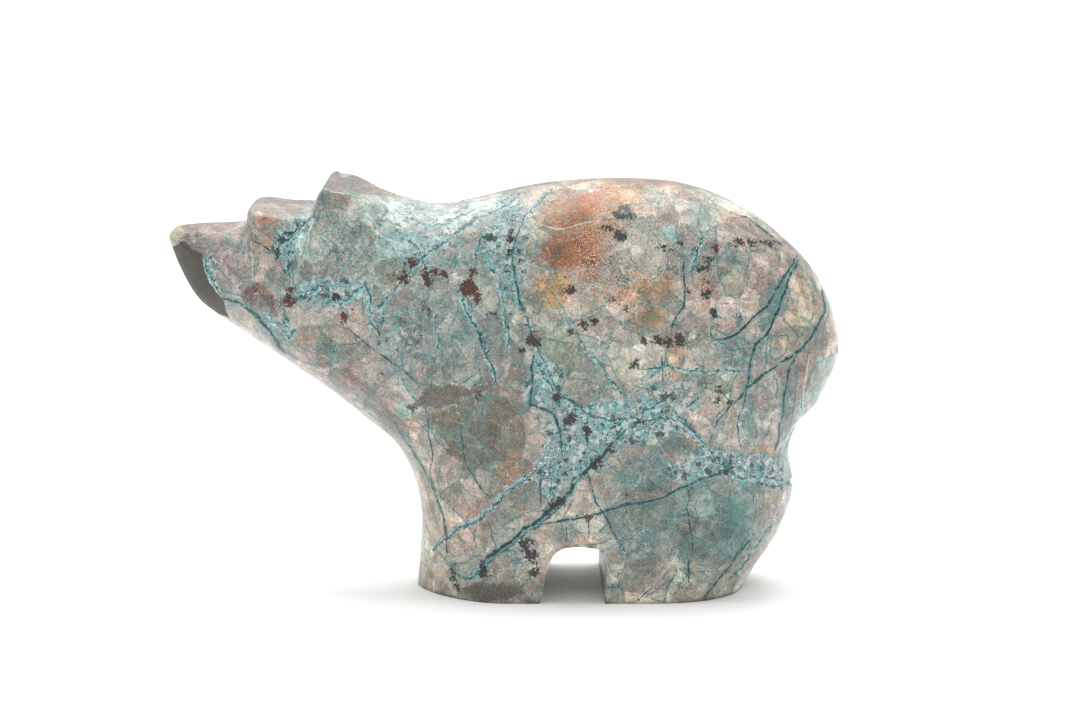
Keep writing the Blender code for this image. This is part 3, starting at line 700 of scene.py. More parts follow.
# Pale hairlines: cells per millimetre, scale, reach and detail of what bends them, half width in
# millimetres, its share that is fully pale, and strength
HAIRLINE_SCALE = 0.26
HAIRLINE_BENDS = (0.416, 0.12, 3.0)
HAIRLINE_WIDTH = 0.05
HAIRLINE_CORE = 0.25
HAIRLINE_STRENGTH = 0.40

# How much a zone at full strength adds to the noise that picks its grains or its cloud
DUST_GAIN = 0.24
RUST_GAIN = 0.24
SPECK_GAIN = 0.08
# Grains of mineral dust: the colour, its noise and the span and strength in which it shows
DUST_GRAINS = (
    ("turquoise", "turquoise grain", (0.44, 0.54, 0.75)),
    ("teal", "teal grain", (0.49, 0.57, 0.85)),
    ("dark_teal", "dark grain", (0.50, 0.58, 0.95)),
    ("white", "white grain", (0.54, 0.61, 0.85)),
)
# Crushed rock in the dust, in pieces per millimetre, with the scale, reach and detail of what
# bends it, then the chips: the colour, the part of a piece's random colour that picks it, and
# where it starts and how strongly it shows
CRUSH = 1.5
CRUSH_BENDS = (1.3, 0.60, 4.0)
CRUSHED_CHIPS = (
    ("dark_teal", 0, 0.76, 0.85),
    ("turquoise", 1, 0.68, 0.42),
    ("white", 2, 0.76, 0.42),
)
CHIP_EDGE = 0.03

# The stain beside a vein reaches so many times its half width and so many pixels more. Beside the
# turquoise veins it counts as dust, so strongly.
STAIN_REACH = (1.8, 2.0)
VEIN_DUST = 0.8
# Lines in a vein: the colour, the line's half width as a share of the band's and pixels more, its
# shift to one side as a share of the band's, its strength, and what breaks it up in which span
TURQUOISE_LINES = (
    ("turquoise", 0.48, 0.35, 0.0, 0.80, ()),
    ("white", 0.5, 0.5, -0.4, 1.0, (("white grain", "sparkle"),)),
    ("dark_teal", 0.22, 0.40, 0.35, 1.0, (("other speck", "turquoise core"),)),
)
FINE_LINES = (("teal", 0.35, 0.10, 0.0, 0.8, ()),)
DARK_LINES = (
    ("teal", 0.58, 0.05, 0.0, 0.85, ()),
    ("dark_teal", 0.42, 0.10, 0.0, 1.0, (("speck", "dark core"),)),
    ("brown_black", 0.45, 0.0, 0.0, 1.0, (("other speck", "black core"), ("band", "black width"))),
)
# Pale lines, which also draw the painted highlights along the head's edges
PALE_AND_HIGHLIGHT_LINES = (("white", 0.35, 0.05, 0.0, 0.45, ()),)
# The groups that stain the rock beside them, how strongly, and their lines
STAINING_VEINS = (
    ("fine", 0.30, FINE_LINES),
    ("dark_a", 0.50, DARK_LINES),
    ("dark_b", 0.50, DARK_LINES),
)

# Dark dots all over the stone, in cells per millimetre, and how much the grain frays them
DOTS = 0.55
DOT_FRAY = 0.3
# Height in millimetres of the painted contact shadow round the soles, and its shade at the ground
SOLE_SHADE_HEIGHT = 0.7
SOLE_SHADE = 0.45
# Roughness of the polish, and how much rougher the chin and the dull patches are
ROUGHNESS = 0.24
CHIN_ROUGHNESS = 0.36
DULL_ROUGHNESS = 0.18
SPECULAR = 0.4
BUMP = {"Strength": 0.12, "Distance": 0.0002}


def linear(name):
    """A named colour as linear light by the sRGB curve, with alpha."""
    shares = np.array(COLOURS[name]) / 255
    light = np.where(shares <= 0.04045, shares / 12.92, ((shares + 0.055) / 1.055) ** 2.4)
    return (*(float(share) for share in light * STONE_SHARE), 1.0)


# Body of the stone


def fine_body(source):
    """A finer copy of the solid, with its facets smoothed out between the sharp edges."""
    shape = bmesh.new()
    shape.from_mesh(source.data)
    bmesh.ops.remove_doubles(shape, verts=shape.verts, dist=WELD)
    bmesh.ops.dissolve_degenerate(shape, edges=shape.edges, dist=SLIVER)
    bmesh.ops.triangulate(shape, faces=shape.faces)
    for edge in shape.edges:
        edge.smooth = len(edge.link_faces) != 2 or edge.calc_face_angle() < EDGE_ANGLE
    for i in range(SPLIT_ROUNDS):
        long_edges = [edge for edge in shape.edges if edge.calc_length() > longest(edge)]
        bmesh.ops.subdivide_edges(shape, edges=long_edges, cuts=1)
        bmesh.ops.triangulate(shape, faces=shape.faces)
        relax(shape)
    cut_fins(shape)
    mesh = bpy.data.meshes.new("bear_stone")
    shape.to_mesh(mesh)
    shape.free()
    return in_scene("bear_stone", mesh)


def in_scene(name, data):
    """A new object in the scene."""
    made = bpy.data.objects.new(name, data)
    bpy.context.scene.collection.objects.link(made)
    return made


def cut_fins(shape):
    """Takes out pairs of faces that lie back to back on the same three points."""
    seen = {}
    fins = []
    for face in shape.faces:
        twin = seen.setdefault(frozenset(face.verts), face)
        if twin is not face:
            fins += [face, twin]
    bmesh.ops.delete(shape, geom=fins, context="FACES")


def longest(edge):
    """How long an edge may stay. It is less on the side that the photograph shows."""
    return FINE_EDGE if min(vertex.co.y for vertex in edge.verts) < 0 else FAR_EDGE


def relax(shape):
    """Smooths the surface without shrinking it. A sharp edge is smoothed along its own line."""
    shape.verts.index_update()
    points = np.array([vertex.co for vertex in shape.verts])
    edges = np.array([[vertex.index for vertex in edge.verts] for edge in shape.edges])
    sharp = np.array([not edge.smooth for edge in shape.edges])
    ends = np.concatenate((edges, edges[:, ::-1]))
    creased = np.concatenate((sharp, sharp))
    creases = np.bincount(ends[:, 0], weights=creased, minlength=len(points))[ends[:, 0]]
    here, there = ends[(creases == 0) | ((creases == 2) & creased)].T
    count = np.bincount(here, minlength=len(points))
    free = count > 0
    for i in range(SMOOTHING_ROUNDS):
        for factor in SMOOTHING_FACTORS:
            total = np.stack([np.bincount(here, weights=column, minlength=len(points))
                              for column in points[there].T], axis=1)
            points[free] += factor * (total[free] / count[free, None] - points[free])
    for vertex, point in zip(shape.verts, points):
        vertex.co = point


# Where the stone's features lie


def photo_places(points):
    """Where points fall in the photograph. The far side is treated as the near side's mirror."""
    level, tilt = math.cos(CAMERA_PITCH), math.sin(CAMERA_PITCH)
    across = points[:, 0] - CAMERA_AIM.x
    away = -np.abs(points[:, 1]) - CAMERA_AIM.y
    above = points[:, 2] - CAMERA_AIM.z
    depth = CAMERA_DISTANCE + away * level - above * tilt
    rise = above * level + away * tilt
    return np.stack((PHOTO_WIDTH / 2 + FOCAL_PIXELS * across / depth,
                     PHOTO_HEIGHT / 2 - FOCAL_PIXELS * rise / depth), axis=1)


def wandering(points, size, reach):
    """A smooth random offset in pixels for each point, with bends of the given size in metres."""
    made = np.array([noise.noise_vector(Vector(point) / size)[:2] for point in points])
    return made * reach


def smooth_step(value, low, high):
    """0 below low, 1 above high and smooth between them, also when high is the lower one."""
    share = np.clip((value - low) / (high - low), 0.0, 1.0)
    return share * share * (3 - 2 * share)


def ellipse_reach(places, centre, radii):
    """Distance from the centre as a share of the ellipse's radius."""
    return np.linalg.norm((places - centre) / radii, axis=1)


def lay(ground, name, share):
    """Lays a named colour on the ground colours by each vertex's share."""
    ground += (np.array(linear(name)) - ground) * share[:, None]


def lay_ellipses(ground, places, patches, softness):
    """Lays soft elliptical patches of colour on the ground colours."""
    for name, centre, radii, strength in patches:
        reach = ellipse_reach(places, centre, radii)
        lay(ground, name, strength * smooth_step(reach, 1 + softness, 1 - softness))


def ground_colours(loose, tight):
    """Ground colour of each vertex, painted over and over, and pixels to a rock piece's outline."""
    ground = np.tile(linear(BASE_COLOUR), (len(loose), 1))
    lay_ellipses(ground, loose, BROAD_AREAS, AREA_SOFTNESS)
    outline = np.full(len(tight), FAR_OFF)
    for name, strength, corners in ROCK_PIECES:
        away = polygon_distance(tight, corners)
        lay(ground, name, strength * smooth_step(away, PIECE_SOFTNESS, -PIECE_SOFTNESS))
        outline = np.minimum(outline, away)
    lay_ellipses(ground, loose, GROUND_PATCHES, PATCH_SOFTNESS)
    return ground, outline


def blotch_distance(places, blotches, deepest):
    """Pixels to the nearest blotch's outline, less than nothing inside it, down to the deepest."""
    nearest = np.full(len(places), FAR_OFF)
    for centre, radii in blotches:
        reach = (ellipse_reach(places, centre, radii) - 1) * min(radii)
        nearest = np.minimum(nearest, reach)
    return np.maximum(nearest, -deepest)


def zone_strength(places, zones):
    """How strongly each vertex lies in one of the soft zones."""
    strongest = np.zeros(len(places))
    for centre, radii, strength in zones:
        reach = ellipse_reach(places, centre, radii)
        strongest = np.maximum(strongest, strength * smooth_step(reach, *ZONE_FADE))
    return strongest


def polygon_distance(places, corners):
    """Pixels to the polygon's outline, less than nothing inside it."""
    nearest = np.full(len(places), np.inf)
    inside = np.zeros(len(places), dtype=bool)
    for i in range(len(corners)):
        start, end = np.array(corners[i - 1], float), np.array(corners[i], float)
        run = end - start
        offset = places - start
        along = np.clip(offset @ run / (run @ run), 0, 1)
        nearest = np.minimum(nearest, np.linalg.norm(offset - along[:, None] * run, axis=1))
        if run[1]:
            crosses = (start[1] > places[:, 1]) != (end[1] > places[:, 1])
            inside ^= crosses & (places[:, 0] < start[0] + offset[:, 1] * run[0] / run[1])
    return np.where(inside, -nearest, nearest)


def vein_fields(places, veins):
    """For each vertex: signed pixels from the nearest vein, its half width, and nearness."""
    best = np.full(len(places), VEINLESS)
    signed = np.full(len(places), VEINLESS)
    width = np.zeros(len(places))
    for half_width, path in veins:
        corners = np.array(path, float)
        lengths = np.linalg.norm(np.diff(corners, axis=0), axis=1)
        passed = 0.0
        for start, end, length in zip(corners, corners[1:], lengths):
            way = (end - start) / length
            offset = places - start
            along = offset @ way
            side = offset[:, 0] * way[1] - offset[:, 1] * way[0]
            held = np.clip(along, 0, length)
            distance = np.hypot(side, along - held)
            travelled = passed + held
            from_end = np.minimum(travelled, lengths.sum() - travelled)
            widening = (1 - THIN_END) * smooth_step(from_end, 0, TAPER_LENGTH)
            at_end = (from_end <= 0) & (np.abs(along - held) > END_SLACK)
            here = np.where(at_end, 0.0, half_width * (THIN_END + widening))
            closer = distance < best
            best = np.where(closer, distance, best)
            signed = np.where(closer, np.where(side < 0, -distance, distance), signed)
            width = np.where(closer, here, width)
            passed += length
    nearness = smooth_step(best, *NEARNESS_FADE)
    width *= smooth_step(best, *WIDTH_FADE)
    return np.stack((signed, width, nearness), axis=1)


def carve(mesh):
    """Raises the fine ridges, cuts the chips and makes the surface wavy, all but the soles."""
    points = read_out(mesh, "co")
    normals = read_out(mesh, "normal")
    places = photo_places(points)
    height = wandering(points, WAVE_LENGTH, WAVE_HEIGHT)[:, 0]
    for half_width, rise, path in RIDGES:
        away = np.abs(vein_fields(places, ((half_width, path),))[:, 0])
        height += rise * smooth_step(away, half_width, 0.0)
    near = smooth_step(points[:, 1], *CHIP_SIDE)
    for centre, radii, depth in CHIPS:
        height -= depth * smooth_step(ellipse_reach(places, centre, radii), *CHIP_WALL) * near
    height *= smooth_step(points[:, 2], *RELIEF_START)
    moved = (points + normals * height[:, None]).astype(np.float32)
    moved[np.abs(moved[:, 2]) < SOLE_SLACK, 2] = 0.0
    mesh.vertices.foreach_set("co", moved.ravel())
    mesh.update()


def store(mesh, name, kind, values):
    """Keeps one value for each vertex, for the material to read."""
    attribute = mesh.attributes.new(name, kind, "POINT")
    field = "color" if kind == "FLOAT_COLOR" else "vector"
    attribute.data.foreach_set(field, np.ascontiguousarray(values, dtype=np.float32).ravel())


def read_out(mesh, field):
    """A vector of each vertex, such as its place or its normal."""
    values = np.empty(len(mesh.vertices) * 3, dtype=np.float32)
    mesh.vertices.foreach_get(field, values)
    return values.reshape(-1, 3).astype(float)


def map_features(mesh):
    """Lays the stone's veins, patches and blotches out on the mesh."""
    points = read_out(mesh, "co")
    places = photo_places(points)
    far = smooth_step(points[:, 1], *FAR_SIDE)
    places += wandering(points, *FAR_BENDS) * far[:, None]
    loose = places + wandering(points, *LOOSE_BENDS)
    loose += wandering(points + FIELD_STEP, *SMALL_BENDS)
    tight = places + wandering(points, *TIGHT_BENDS)
    hidden = PUT_OFF * far
    far_ear = far * smooth_step(points[:, 2], *FAR_EAR) * (points[:, 0] < NECK_START)

    ground, outline = ground_colours(loose, places + wandering(points, *PIECE_BENDS))
    lay(ground, FAR_EAR_COLOUR, far_ear)
    store(mesh, "ground", "FLOAT_COLOR", ground)
    for name, veins in VEIN_GROUPS.items():
        fields = vein_fields(tight, veins)
        # The pale group holds painted highlights along the head's edges as well as pale veins
        if name == "pale":
            # The far side has none of these
            fields[:, 1] *= 1 - far
        store(mesh, name, "FLOAT_VECTOR", fields)
    blotches = [blotch_distance(tight, *kind) + hidden for kind in BLOTCH_KINDS.values()]
    store(mesh, "blotches", "FLOAT_VECTOR", np.stack(blotches, axis=1))
    zones = [zone_strength(loose, group) for group in (RUST_ZONES, DUST_ZONES, CREAM_ZONES)]
    zones = np.stack(zones, axis=1) * (1 - far_ear[:, None])
    store(mesh, "zones", "FLOAT_VECTOR", zones)
    chin = polygon_distance(tight, CHIN_PATCH)
    dull = [polygon_distance(tight, patch) for patch in (SHOULDER_PATCH, SOLE_PATCH)]
    dull = np.min(dull, axis=0) + hidden
    store(mesh, "patches", "FLOAT_VECTOR", np.stack((chin, dull, outline), axis=1))


# Shader nodes


class Graph:
    """Short calls for the shader nodes of the stone's material."""

    def __init__(self, tree):
        self.tree = tree
        metres = self.add("ShaderNodeTexCoord", {}).outputs["Object"]
        self.places = self.vector("SCALE", metres, MM_PER_METRE)
        self.noises = {name: self.field(*values) for name, values in NOISES.items()}

    def feed(self, socket, value):
        """Links the value if it is a socket and sets it otherwise."""
        if isinstance(value, bpy.types.NodeSocket):
            self.tree.links.new(value, socket)
        else:
            socket.default_value = value

    def add(self, kind, inputs, **settings):
        """A node with its settings and its inputs, which go by name or by number."""
        made = self.tree.nodes.new(kind)
        for key, value in settings.items():
            setattr(made, key, value)
        for key, value in inputs.items():
            self.feed(made.inputs[key], value)
        return made

    def math(self, operation, first, second=0.0):
        """One sum of two numbers."""
        return self.add("ShaderNodeMath", {0: first, 1: second}, operation=operation).outputs[0]

    def vector(self, operation, first, second):
        """One sum of two vectors, or with SCALE of a vector and a number."""
        inputs = {0: first, "Scale" if operation == "SCALE" else 1: second}
        return self.add("ShaderNodeVectorMath", inputs, operation=operation).outputs[0]

    def product(self, *values):
        """All the values multiplied together."""
        total = values[0]
        for value in values[1:]:
            total = self.math("MULTIPLY", total, value)
        return total

    def plus(self, first, second, share):
        """The first value and a share of the second."""
        return self.math("ADD", first, self.product(second, share))

    def step(self, value, low, high, top=1.0):
        """0 at low, top at high and smooth between them."""
        inputs = {0: value, 1: low, 2: high, 3: 0.0, 4: top}
        made = self.add("ShaderNodeMapRange", inputs, interpolation_type="SMOOTHSTEP")
        return made.outputs[0]

    def span(self, name, value, *top):
        """A step over one of the named spans."""
        return self.step(value, *SPANS[name], *top)

    def spread(self, value, low, high, bottom, top):
        """Stretches the range from low to high to the one from bottom to top, held there."""
        inputs = {0: value, 1: low, 2: high, 3: bottom, 4: top}
        return self.add("ShaderNodeMapRange", inputs, clamp=True).outputs[0]

    def ranged(self, name):
        """A noise stretched to its named range."""
        return self.spread(self.noises[name], *RANGES[name])

    def noise(self, places, scale, detail, roughness=0.55):
        """Noise from about 0.3 to 0.7 at a scale in bends per millimetre."""
        inputs = {"Vector": places, "Scale": scale, "Detail": detail, "Roughness": roughness}
        return self.add("ShaderNodeTexNoise", inputs).outputs["Fac"]

    def bend(self, places, scale, reach, detail=2.0):
        """The places moved about at random by up to about the reach."""
        made = self.add("ShaderNodeTexNoise", {"Vector": places, "Scale": scale, "Detail": detail})
        centred = self.vector("SUBTRACT", made.outputs["Color"], (MIDDLE, MIDDLE, MIDDLE))
        return self.vector("ADD", places, self.vector("SCALE", centred, 2 * reach))

    def field(self, scale, detail, roughness, bend_scale=None, reach=None, stretch=None):
        """Noise on the stone's places, drawn together and moved about first if that is given."""
        places = self.places
        if stretch:
            places = self.vector("MULTIPLY", places, stretch)
        if bend_scale:
            places = self.bend(places, bend_scale, reach)
        return self.noise(places, scale, detail, roughness)

    def swing(self, name, reach):
        """A noise as an offset to both sides of nothing."""
        return self.product(self.math("SUBTRACT", self.noises[name], MIDDLE), reach)

    def cells(self, places, scale, feature="F1"):
        """A field of irregular cells, at a scale in cells per millimetre."""
        inputs = {"Vector": places, "Scale": scale}
        return self.add("ShaderNodeTexVoronoi", inputs, feature=feature).outputs

    def borders(self, places, scale):
        """The distance to the nearest border between cells, in cells."""
        return self.cells(places, scale, "DISTANCE_TO_EDGE")["Distance"]

    def blend(self, share, under, over, mode="MIX"):
        """The colour over laid on the colour under by the share."""
        made = self.add("ShaderNodeMix", {0: share, 6: under, 7: over}, data_type="RGBA",
                        blend_type=mode, clamp_factor=True)
        return made.outputs[2]

    def coat(self, colour, name, *shares):
        """A named colour laid on the colour by all the shares multiplied together."""
        return self.blend(self.product(*shares), colour, linear(name))

    def shaded(self, colour, *shades):
        """The colour made lighter or darker by all the shades."""
        return self.vector("SCALE", colour, self.product(*shades))

    def parts(self, value):
        """The three parts of a vector."""
        return self.add("ShaderNodeSeparateXYZ", {0: value}).outputs

    def stored(self, name, output="Vector"):
        """A value kept on the mesh."""
        return self.add("ShaderNodeAttribute", {}, attribute_name=name).outputs[output]


def new_material(name):
    """A new material with its shader."""
    material = bpy.data.materials.new(name)
    material.use_nodes = True
    return material, material.node_tree.nodes["Principled BSDF"]


def clast_layer(graph, colour, bends, scale, tones, tint, line, crispness):
    """One size of broken rock pieces, each with its own tone, and the lines of the cracks."""
    places = graph.bend(graph.places, *bends)
    light, green, pink = graph.parts(graph.cells(places, scale)["Color"])
    colour = graph.blend(graph.span("teal piece", green, tint), colour, TEAL_CAST, "MULTIPLY")
    colour = graph.blend(graph.span("pink piece", pink, tint), colour, PINK_CAST, "MULTIPLY")
    colour = graph.shaded(colour, graph.spread(light, 0.0, 1.0, *tones))
    edge = graph.math("DIVIDE", graph.borders(places, scale), scale)
    present = graph.noise(places, *CRACK_PLACES)
    colour = graph.coat(colour, "sea", graph.step(edge, CRACK_STAIN * line, 0.0),
                        graph.span("soft crack place", present))
    return graph.coat(colour, "teal", graph.step(edge, line, CRACK_CORE * line),
                      graph.span("whole crack", graph.noise(places, *CRACK_BREAKS)),
                      graph.span("crisp crack place", present, crispness))


def broken_ground(graph, colour):
    """The ground colours clouded, grained and broken into rock pieces of three sizes."""
    warmth = graph.noises["warmth"]
    colour = graph.blend(graph.span("pink cloud", warmth), colour, PINK_CAST, "MULTIPLY")
    colour = graph.blend(graph.span("teal cloud", warmth), colour, TEAL_CAST, "MULTIPLY")
    colour = graph.shaded(colour, graph.ranged("cloud"), graph.ranged("fibres"))
    for layer in CLAST_LAYERS:
        colour = clast_layer(graph, colour, *layer)
    return colour


def rust_stain(graph, colour, rust):
    """Warm staining in the rust zones, cloudy at large and speckled close up."""
    cloud = graph.plus(graph.noises["rust cloud"], rust, RUST_GAIN)
    colour = graph.coat(colour, "orange", graph.span("rust cloud", cloud),
                        graph.span("rust zone", rust))
    specks = graph.plus(graph.noises["speck"], rust, SPECK_GAIN)
    return graph.coat(colour, "rust", graph.span("rust speck", specks),
                      graph.span("rust speck zone", rust))


def piece_rims(graph, colour, outline, wobble, rust):
    """Soft and crisp lines round the named rock pieces, in places and not where rust is strong."""
    rim = graph.math("ABSOLUTE", graph.plus(outline, wobble, RIM_WOBBLE))
    unstained = graph.span("unstained", rust)
    for name, kind in (("sea", "soft rim"), ("teal", "crisp rim")):
        place = graph.span(kind + " place", graph.noises["rim place"])
        colour = graph.coat(colour, name, graph.span(kind, rim), place, unstained)
    return colour


def streaks(graph, colour, dust):
    """Flowing lines in the dust, each kind drawn out along the shortest side of its stretch."""
    for name, stretch, scale in STREAKS:
        field = graph.field(scale, *STREAK_NOISE, stretch)
        away = graph.math("ABSOLUTE", graph.math("SUBTRACT", field, MIDDLE))
        line = graph.product(graph.step(away, STREAK_WIDTH, STREAK_CORE * STREAK_WIDTH),
                             graph.span("streak place", graph.noises["streak place"]))
        colour = graph.coat(colour, name, line, graph.span("streak zone", dust), STREAK_STRENGTH)
    return colour


def pale_hairlines(graph, colour):
    """Thin pale lines between cells, in places."""
    edge = graph.borders(graph.bend(graph.places, *HAIRLINE_BENDS), HAIRLINE_SCALE)
    width = HAIRLINE_WIDTH * HAIRLINE_SCALE
    line = graph.step(edge, width, HAIRLINE_CORE * width)
    place = graph.span("hairline place", graph.noises["hairline place"])
    return graph.coat(colour, "white", line, place, HAIRLINE_STRENGTH)


def fine_specks(graph, colour, cream):
    """Cream flecks and teal pits all over the stone, and more cream specks in the cream zones."""
    grain = graph.noises["white grain"]
    colour = graph.coat(colour, "cream", graph.span("fleck", grain))
    colour = graph.coat(colour, "teal", graph.span("pit", graph.noises["teal grain"]))
    specks = graph.plus(grain, cream, SPECK_GAIN)
    return graph.coat(colour, "cream", graph.span("cream speck", specks),
                      graph.span("cream zone", cream))


def mineral_dust(graph, colour, dust):
    """Fine grains and crushed chips of turquoise, dark teal and white, denser in strong dust."""
    clumps = graph.plus(graph.noises["clump"], dust, DUST_GAIN)
    dense = graph.product(graph.span("dust clump", clumps), graph.span("dust zone", dust))
    for name, field, span in DUST_GRAINS:
        colour = graph.coat(colour, name, graph.step(graph.noises[field], *span), dense)
    chips = graph.parts(graph.cells(graph.bend(graph.places, *CRUSH_BENDS), CRUSH)["Color"])
    for name, part, least, top in CRUSHED_CHIPS:
        share = graph.step(chips[part], least, least + CHIP_EDGE, top)
        colour = graph.coat(colour, name, share, dense)
    return colour


def vein_parts(graph, name, wobble):
    """A stored group of veins: signed pixels from the middle line, band half width and stain."""
    away, width, nearness = graph.parts(graph.stored(name))
    side = graph.math("ADD", away, wobble)
    band = graph.product(width, graph.ranged("ragged"))
    reach = graph.math("ADD", graph.product(width, STAIN_REACH[0]), STAIN_REACH[1])
    share = graph.math("DIVIDE", graph.math("ABSOLUTE", side), reach)
    stain = graph.product(graph.span("vein stain", share), nearness,
                          graph.span("stained width", width))
    return side, band, stain


def vein_lines(graph, colour, side, band, lines):
    """The lines of a group of veins, one laid on the other."""
    breaks = {**graph.noises, "band": band}
    for name, share, more, shift, strength, masks in lines:
        middle = graph.math("SUBTRACT", side, graph.product(band, shift))
        reach = graph.math("ADD", graph.product(band, share), more)
        gap = graph.math("SUBTRACT", graph.math("ABSOLUTE", middle), reach)
        line = graph.product(graph.span("line", gap), graph.span("lined width", band))
        shown = [graph.span(span, breaks[field]) for field, span in masks]
        colour = graph.coat(colour, name, line, strength, *shown)
    return colour


def paint_veins(graph, colour, dust, wobble):
    """The named veins, with mineral dust along the turquoise ones and stain along the dark ones.
    The pale ones include painted highlights.
    """
    turquoise = [vein_parts(graph, name, wobble) for name in ("turquoise_a", "turquoise_b")]
    for side, band, stain in turquoise:
        dust = graph.math("MAXIMUM", dust, graph.product(stain, VEIN_DUST))
    colour = mineral_dust(graph, colour, dust)
    for side, band, stain in turquoise:
        colour = vein_lines(graph, colour, side, band, TURQUOISE_LINES)
    thin_wobble = graph.product(wobble, THIN_WOBBLE)
    for name, strength, lines in STAINING_VEINS:
        side, band, stain = vein_parts(graph, name, thin_wobble)
        colour = graph.coat(colour, "sea", stain, strength)
        colour = vein_lines(graph, colour, side, band, lines)
    # Pale veins and painted highlights along the head's edges
    side, band, stain = vein_parts(graph, "pale", thin_wobble)
    return vein_lines(graph, colour, side, band, PALE_AND_HIGHLIGHT_LINES)


def paint_blotches(graph, colour):
    """Blotches with ragged outlines, and a scatter of small dark dots over the whole stone."""
    edge = graph.math("ADD", graph.swing("turquoise grain", BLOTCH_WOBBLE[0]),
                      graph.swing("coarse", BLOTCH_WOBBLE[1]))
    for name, distance in zip(BLOTCH_KINDS, graph.parts(graph.stored("blotches"))):
        share = graph.span("blotch", graph.math("ADD", distance, edge))
        colour = graph.coat(colour, name, share)
    dots = graph.cells(graph.places, DOTS)
    frayed = graph.plus(dots["Distance"], graph.noises["turquoise grain"], DOT_FRAY)
    chosen = graph.span("chosen dot", graph.parts(dots["Color"])[0])
    return graph.coat(colour, "brown_black", graph.span("dot", frayed), chosen)


def flat_patches(graph, colour, dull_share, chin_share):
    """The dull patches, the unpolished chin and the painted contact shadow round the soles."""
    light = graph.span("light grain", graph.noises["dull grain"])
    dull_colour = graph.blend(light, linear("dull_dark"), linear("dull_light"))
    colour = graph.blend(dull_share, colour, dull_colour)
    light = graph.span("chin grain", graph.noises["grain"])
    chin_colour = graph.blend(light, linear("chin_grey"), linear("olive"))
    colour = graph.blend(chin_share, colour, chin_colour)
    # Painted contact shadow: the colour darkens towards the ground, where the soles meet the floor
    height = graph.parts(graph.places)[2]
    return graph.shaded(colour, graph.spread(height, 0.0, SOLE_SHADE_HEIGHT, SOLE_SHADE, 1.0))


def stone_material():
    """Polished breccia: taupe and teal clasts, turquoise and dark veins, rust and dark blotches."""
    material, shader = new_material("turquoise_stone")
    graph = Graph(material.node_tree)
    rust, dust, cream = graph.parts(graph.stored("zones"))
    chin, dull, outline = graph.parts(graph.stored("patches"))
    wobble = graph.math("ADD", graph.swing("coarse", VEIN_WOBBLE[0]),
                        graph.swing("fine", VEIN_WOBBLE[1]))
    dull_edge = graph.math("ADD", dull, graph.swing("speck", DULL_WOBBLE))
    dull_share = graph.span("dull patch", dull_edge)
    chin_share = graph.span("chin", graph.plus(chin, graph.noises["fine"], CHIN_WOBBLE))

    colour = broken_ground(graph, graph.stored("ground", "Color"))
    colour = rust_stain(graph, colour, rust)
    colour = graph.shaded(colour, graph.ranged("grain"), graph.ranged("dots"))
    colour = piece_rims(graph, colour, outline, wobble, rust)
    colour = streaks(graph, colour, dust)
    colour = pale_hairlines(graph, colour)
    colour = fine_specks(graph, colour, cream)
    colour = paint_veins(graph, colour, dust, wobble)
    colour = paint_blotches(graph, colour)
    colour = flat_patches(graph, colour, dull_share, chin_share)
    graph.feed(shader.inputs["Base Color"], colour)

    rough = graph.span("polish", graph.noises["polish"])
    rough = graph.plus(rough, chin_share, CHIN_ROUGHNESS)
    rough = graph.plus(rough, dull_share, DULL_ROUGHNESS)
    graph.feed(shader.inputs["Roughness"], graph.math("ADD", rough, ROUGHNESS))
    shader.inputs["Specular IOR Level"].default_value = SPECULAR
    bump = graph.add("ShaderNodeBump", {**BUMP, "Height": graph.noises["grain"]})
    graph.feed(shader.inputs["Normal"], bump.outputs["Normal"])
    return material


def stone_piece():
    """The visual model of the carving."""
    body = fine_body(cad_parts["bear_carving"])
    mesh = body.data
    mesh.materials.clear()
    mesh.materials.append(stone_material())
    map_features(mesh)
    carve(mesh)
    mesh.shade_smooth()
    mesh.set_sharp_from_angle(angle=SHADING_ANGLE)
    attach(body, "root")
    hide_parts("bear_carving")


# Studio


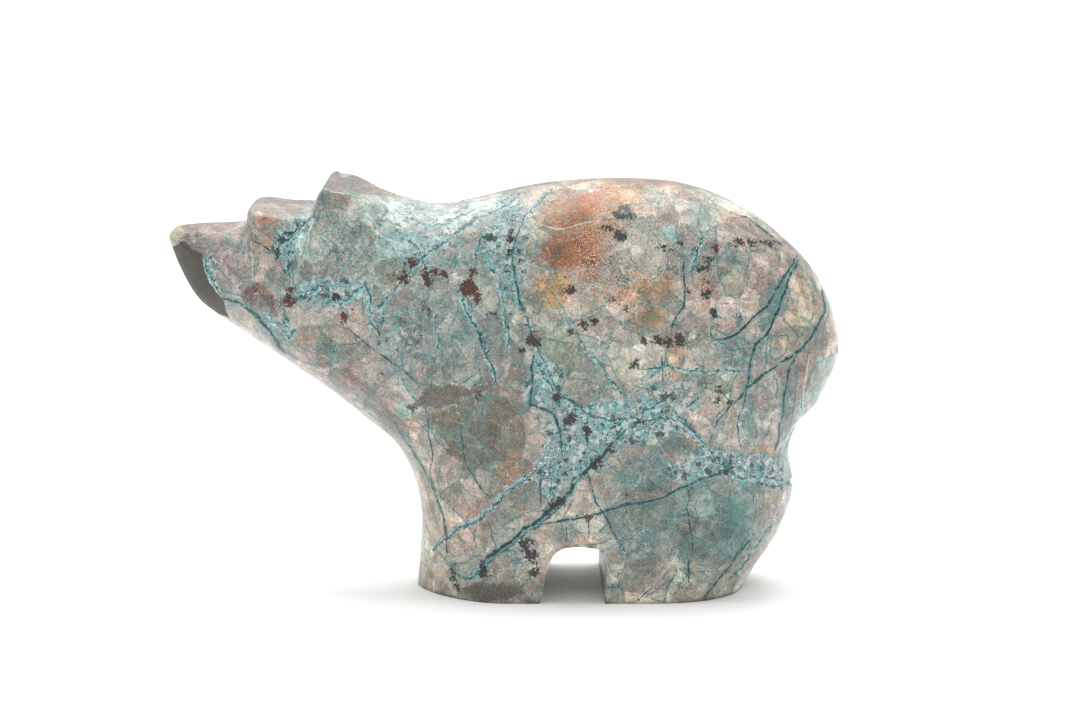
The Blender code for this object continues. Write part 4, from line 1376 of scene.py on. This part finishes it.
def floor_material():
    """A matt pale surface with a faint light of its own, as paper has that is lit from below."""
    material, shader = new_material("floor_white")
    shader.inputs["Base Color"].default_value = (FLOOR_WHITE, FLOOR_WHITE, FLOOR_WHITE, 1.0)
    shader.inputs["Roughness"].default_value = FLOOR_ROUGHNESS
    shader.inputs["Emission Color"].default_value = WHITE
    shader.inputs["Emission Strength"].default_value = FLOOR_GLOW
    shader.inputs["Specular IOR Level"].default_value = 0.0
    return material


def add_light(name, size, place, radiance):
    """A square light that shines straight down."""
    lamp = bpy.data.lights.new(name, "AREA")
    lamp.shape = "SQUARE"
    lamp.size = size
    lamp.energy = radiance * math.pi * size ** 2
    in_scene(name, lamp).location = place


def studio():
    """White floor, white surroundings and soft lights above."""
    mesh = bpy.data.meshes.new("floor")
    half = FLOOR_SIZE / 2
    corners = [(-half, -half, 0), (half, -half, 0), (half, half, 0), (-half, half, 0)]
    mesh.from_pydata(corners, [], [(0, 1, 2, 3)])
    mesh.materials.append(floor_material())
    floor = in_scene("floor", mesh)

    world = bpy.data.worlds.new("white_room")
    world.use_nodes = True
    background = world.node_tree.nodes["Background"]
    background.inputs["Color"].default_value = WHITE
    background.inputs["Strength"].default_value = WORLD_STRENGTH
    bpy.context.scene.world = world

    add_light("key", *KEY_LIGHT)
    add_light("back", *BACK_LIGHT)
    bpy.context.scene.view_settings.view_transform = "Standard"


def camera():
    """The photograph's camera."""
    lens = bpy.data.cameras.new("camera")
    lens.sensor_fit = "HORIZONTAL"
    lens.sensor_width = SENSOR_WIDTH
    lens.lens = FOCAL_PIXELS / PHOTO_WIDTH * SENSOR_WIDTH
    lens.clip_start = NEAREST_SEEN
    lens.clip_end = FARTHEST_SEEN
    made = in_scene("camera", lens)
    back = Vector((0.0, -math.cos(CAMERA_PITCH), math.sin(CAMERA_PITCH)))
    made.location = CAMERA_AIM + back * CAMERA_DISTANCE
    made.rotation_euler = (math.pi / 2 - CAMERA_PITCH, 0.0, 0.0)
    bpy.context.scene.camera = made


noise.seed_set(SEED)
stone_piece()
studio()
camera()
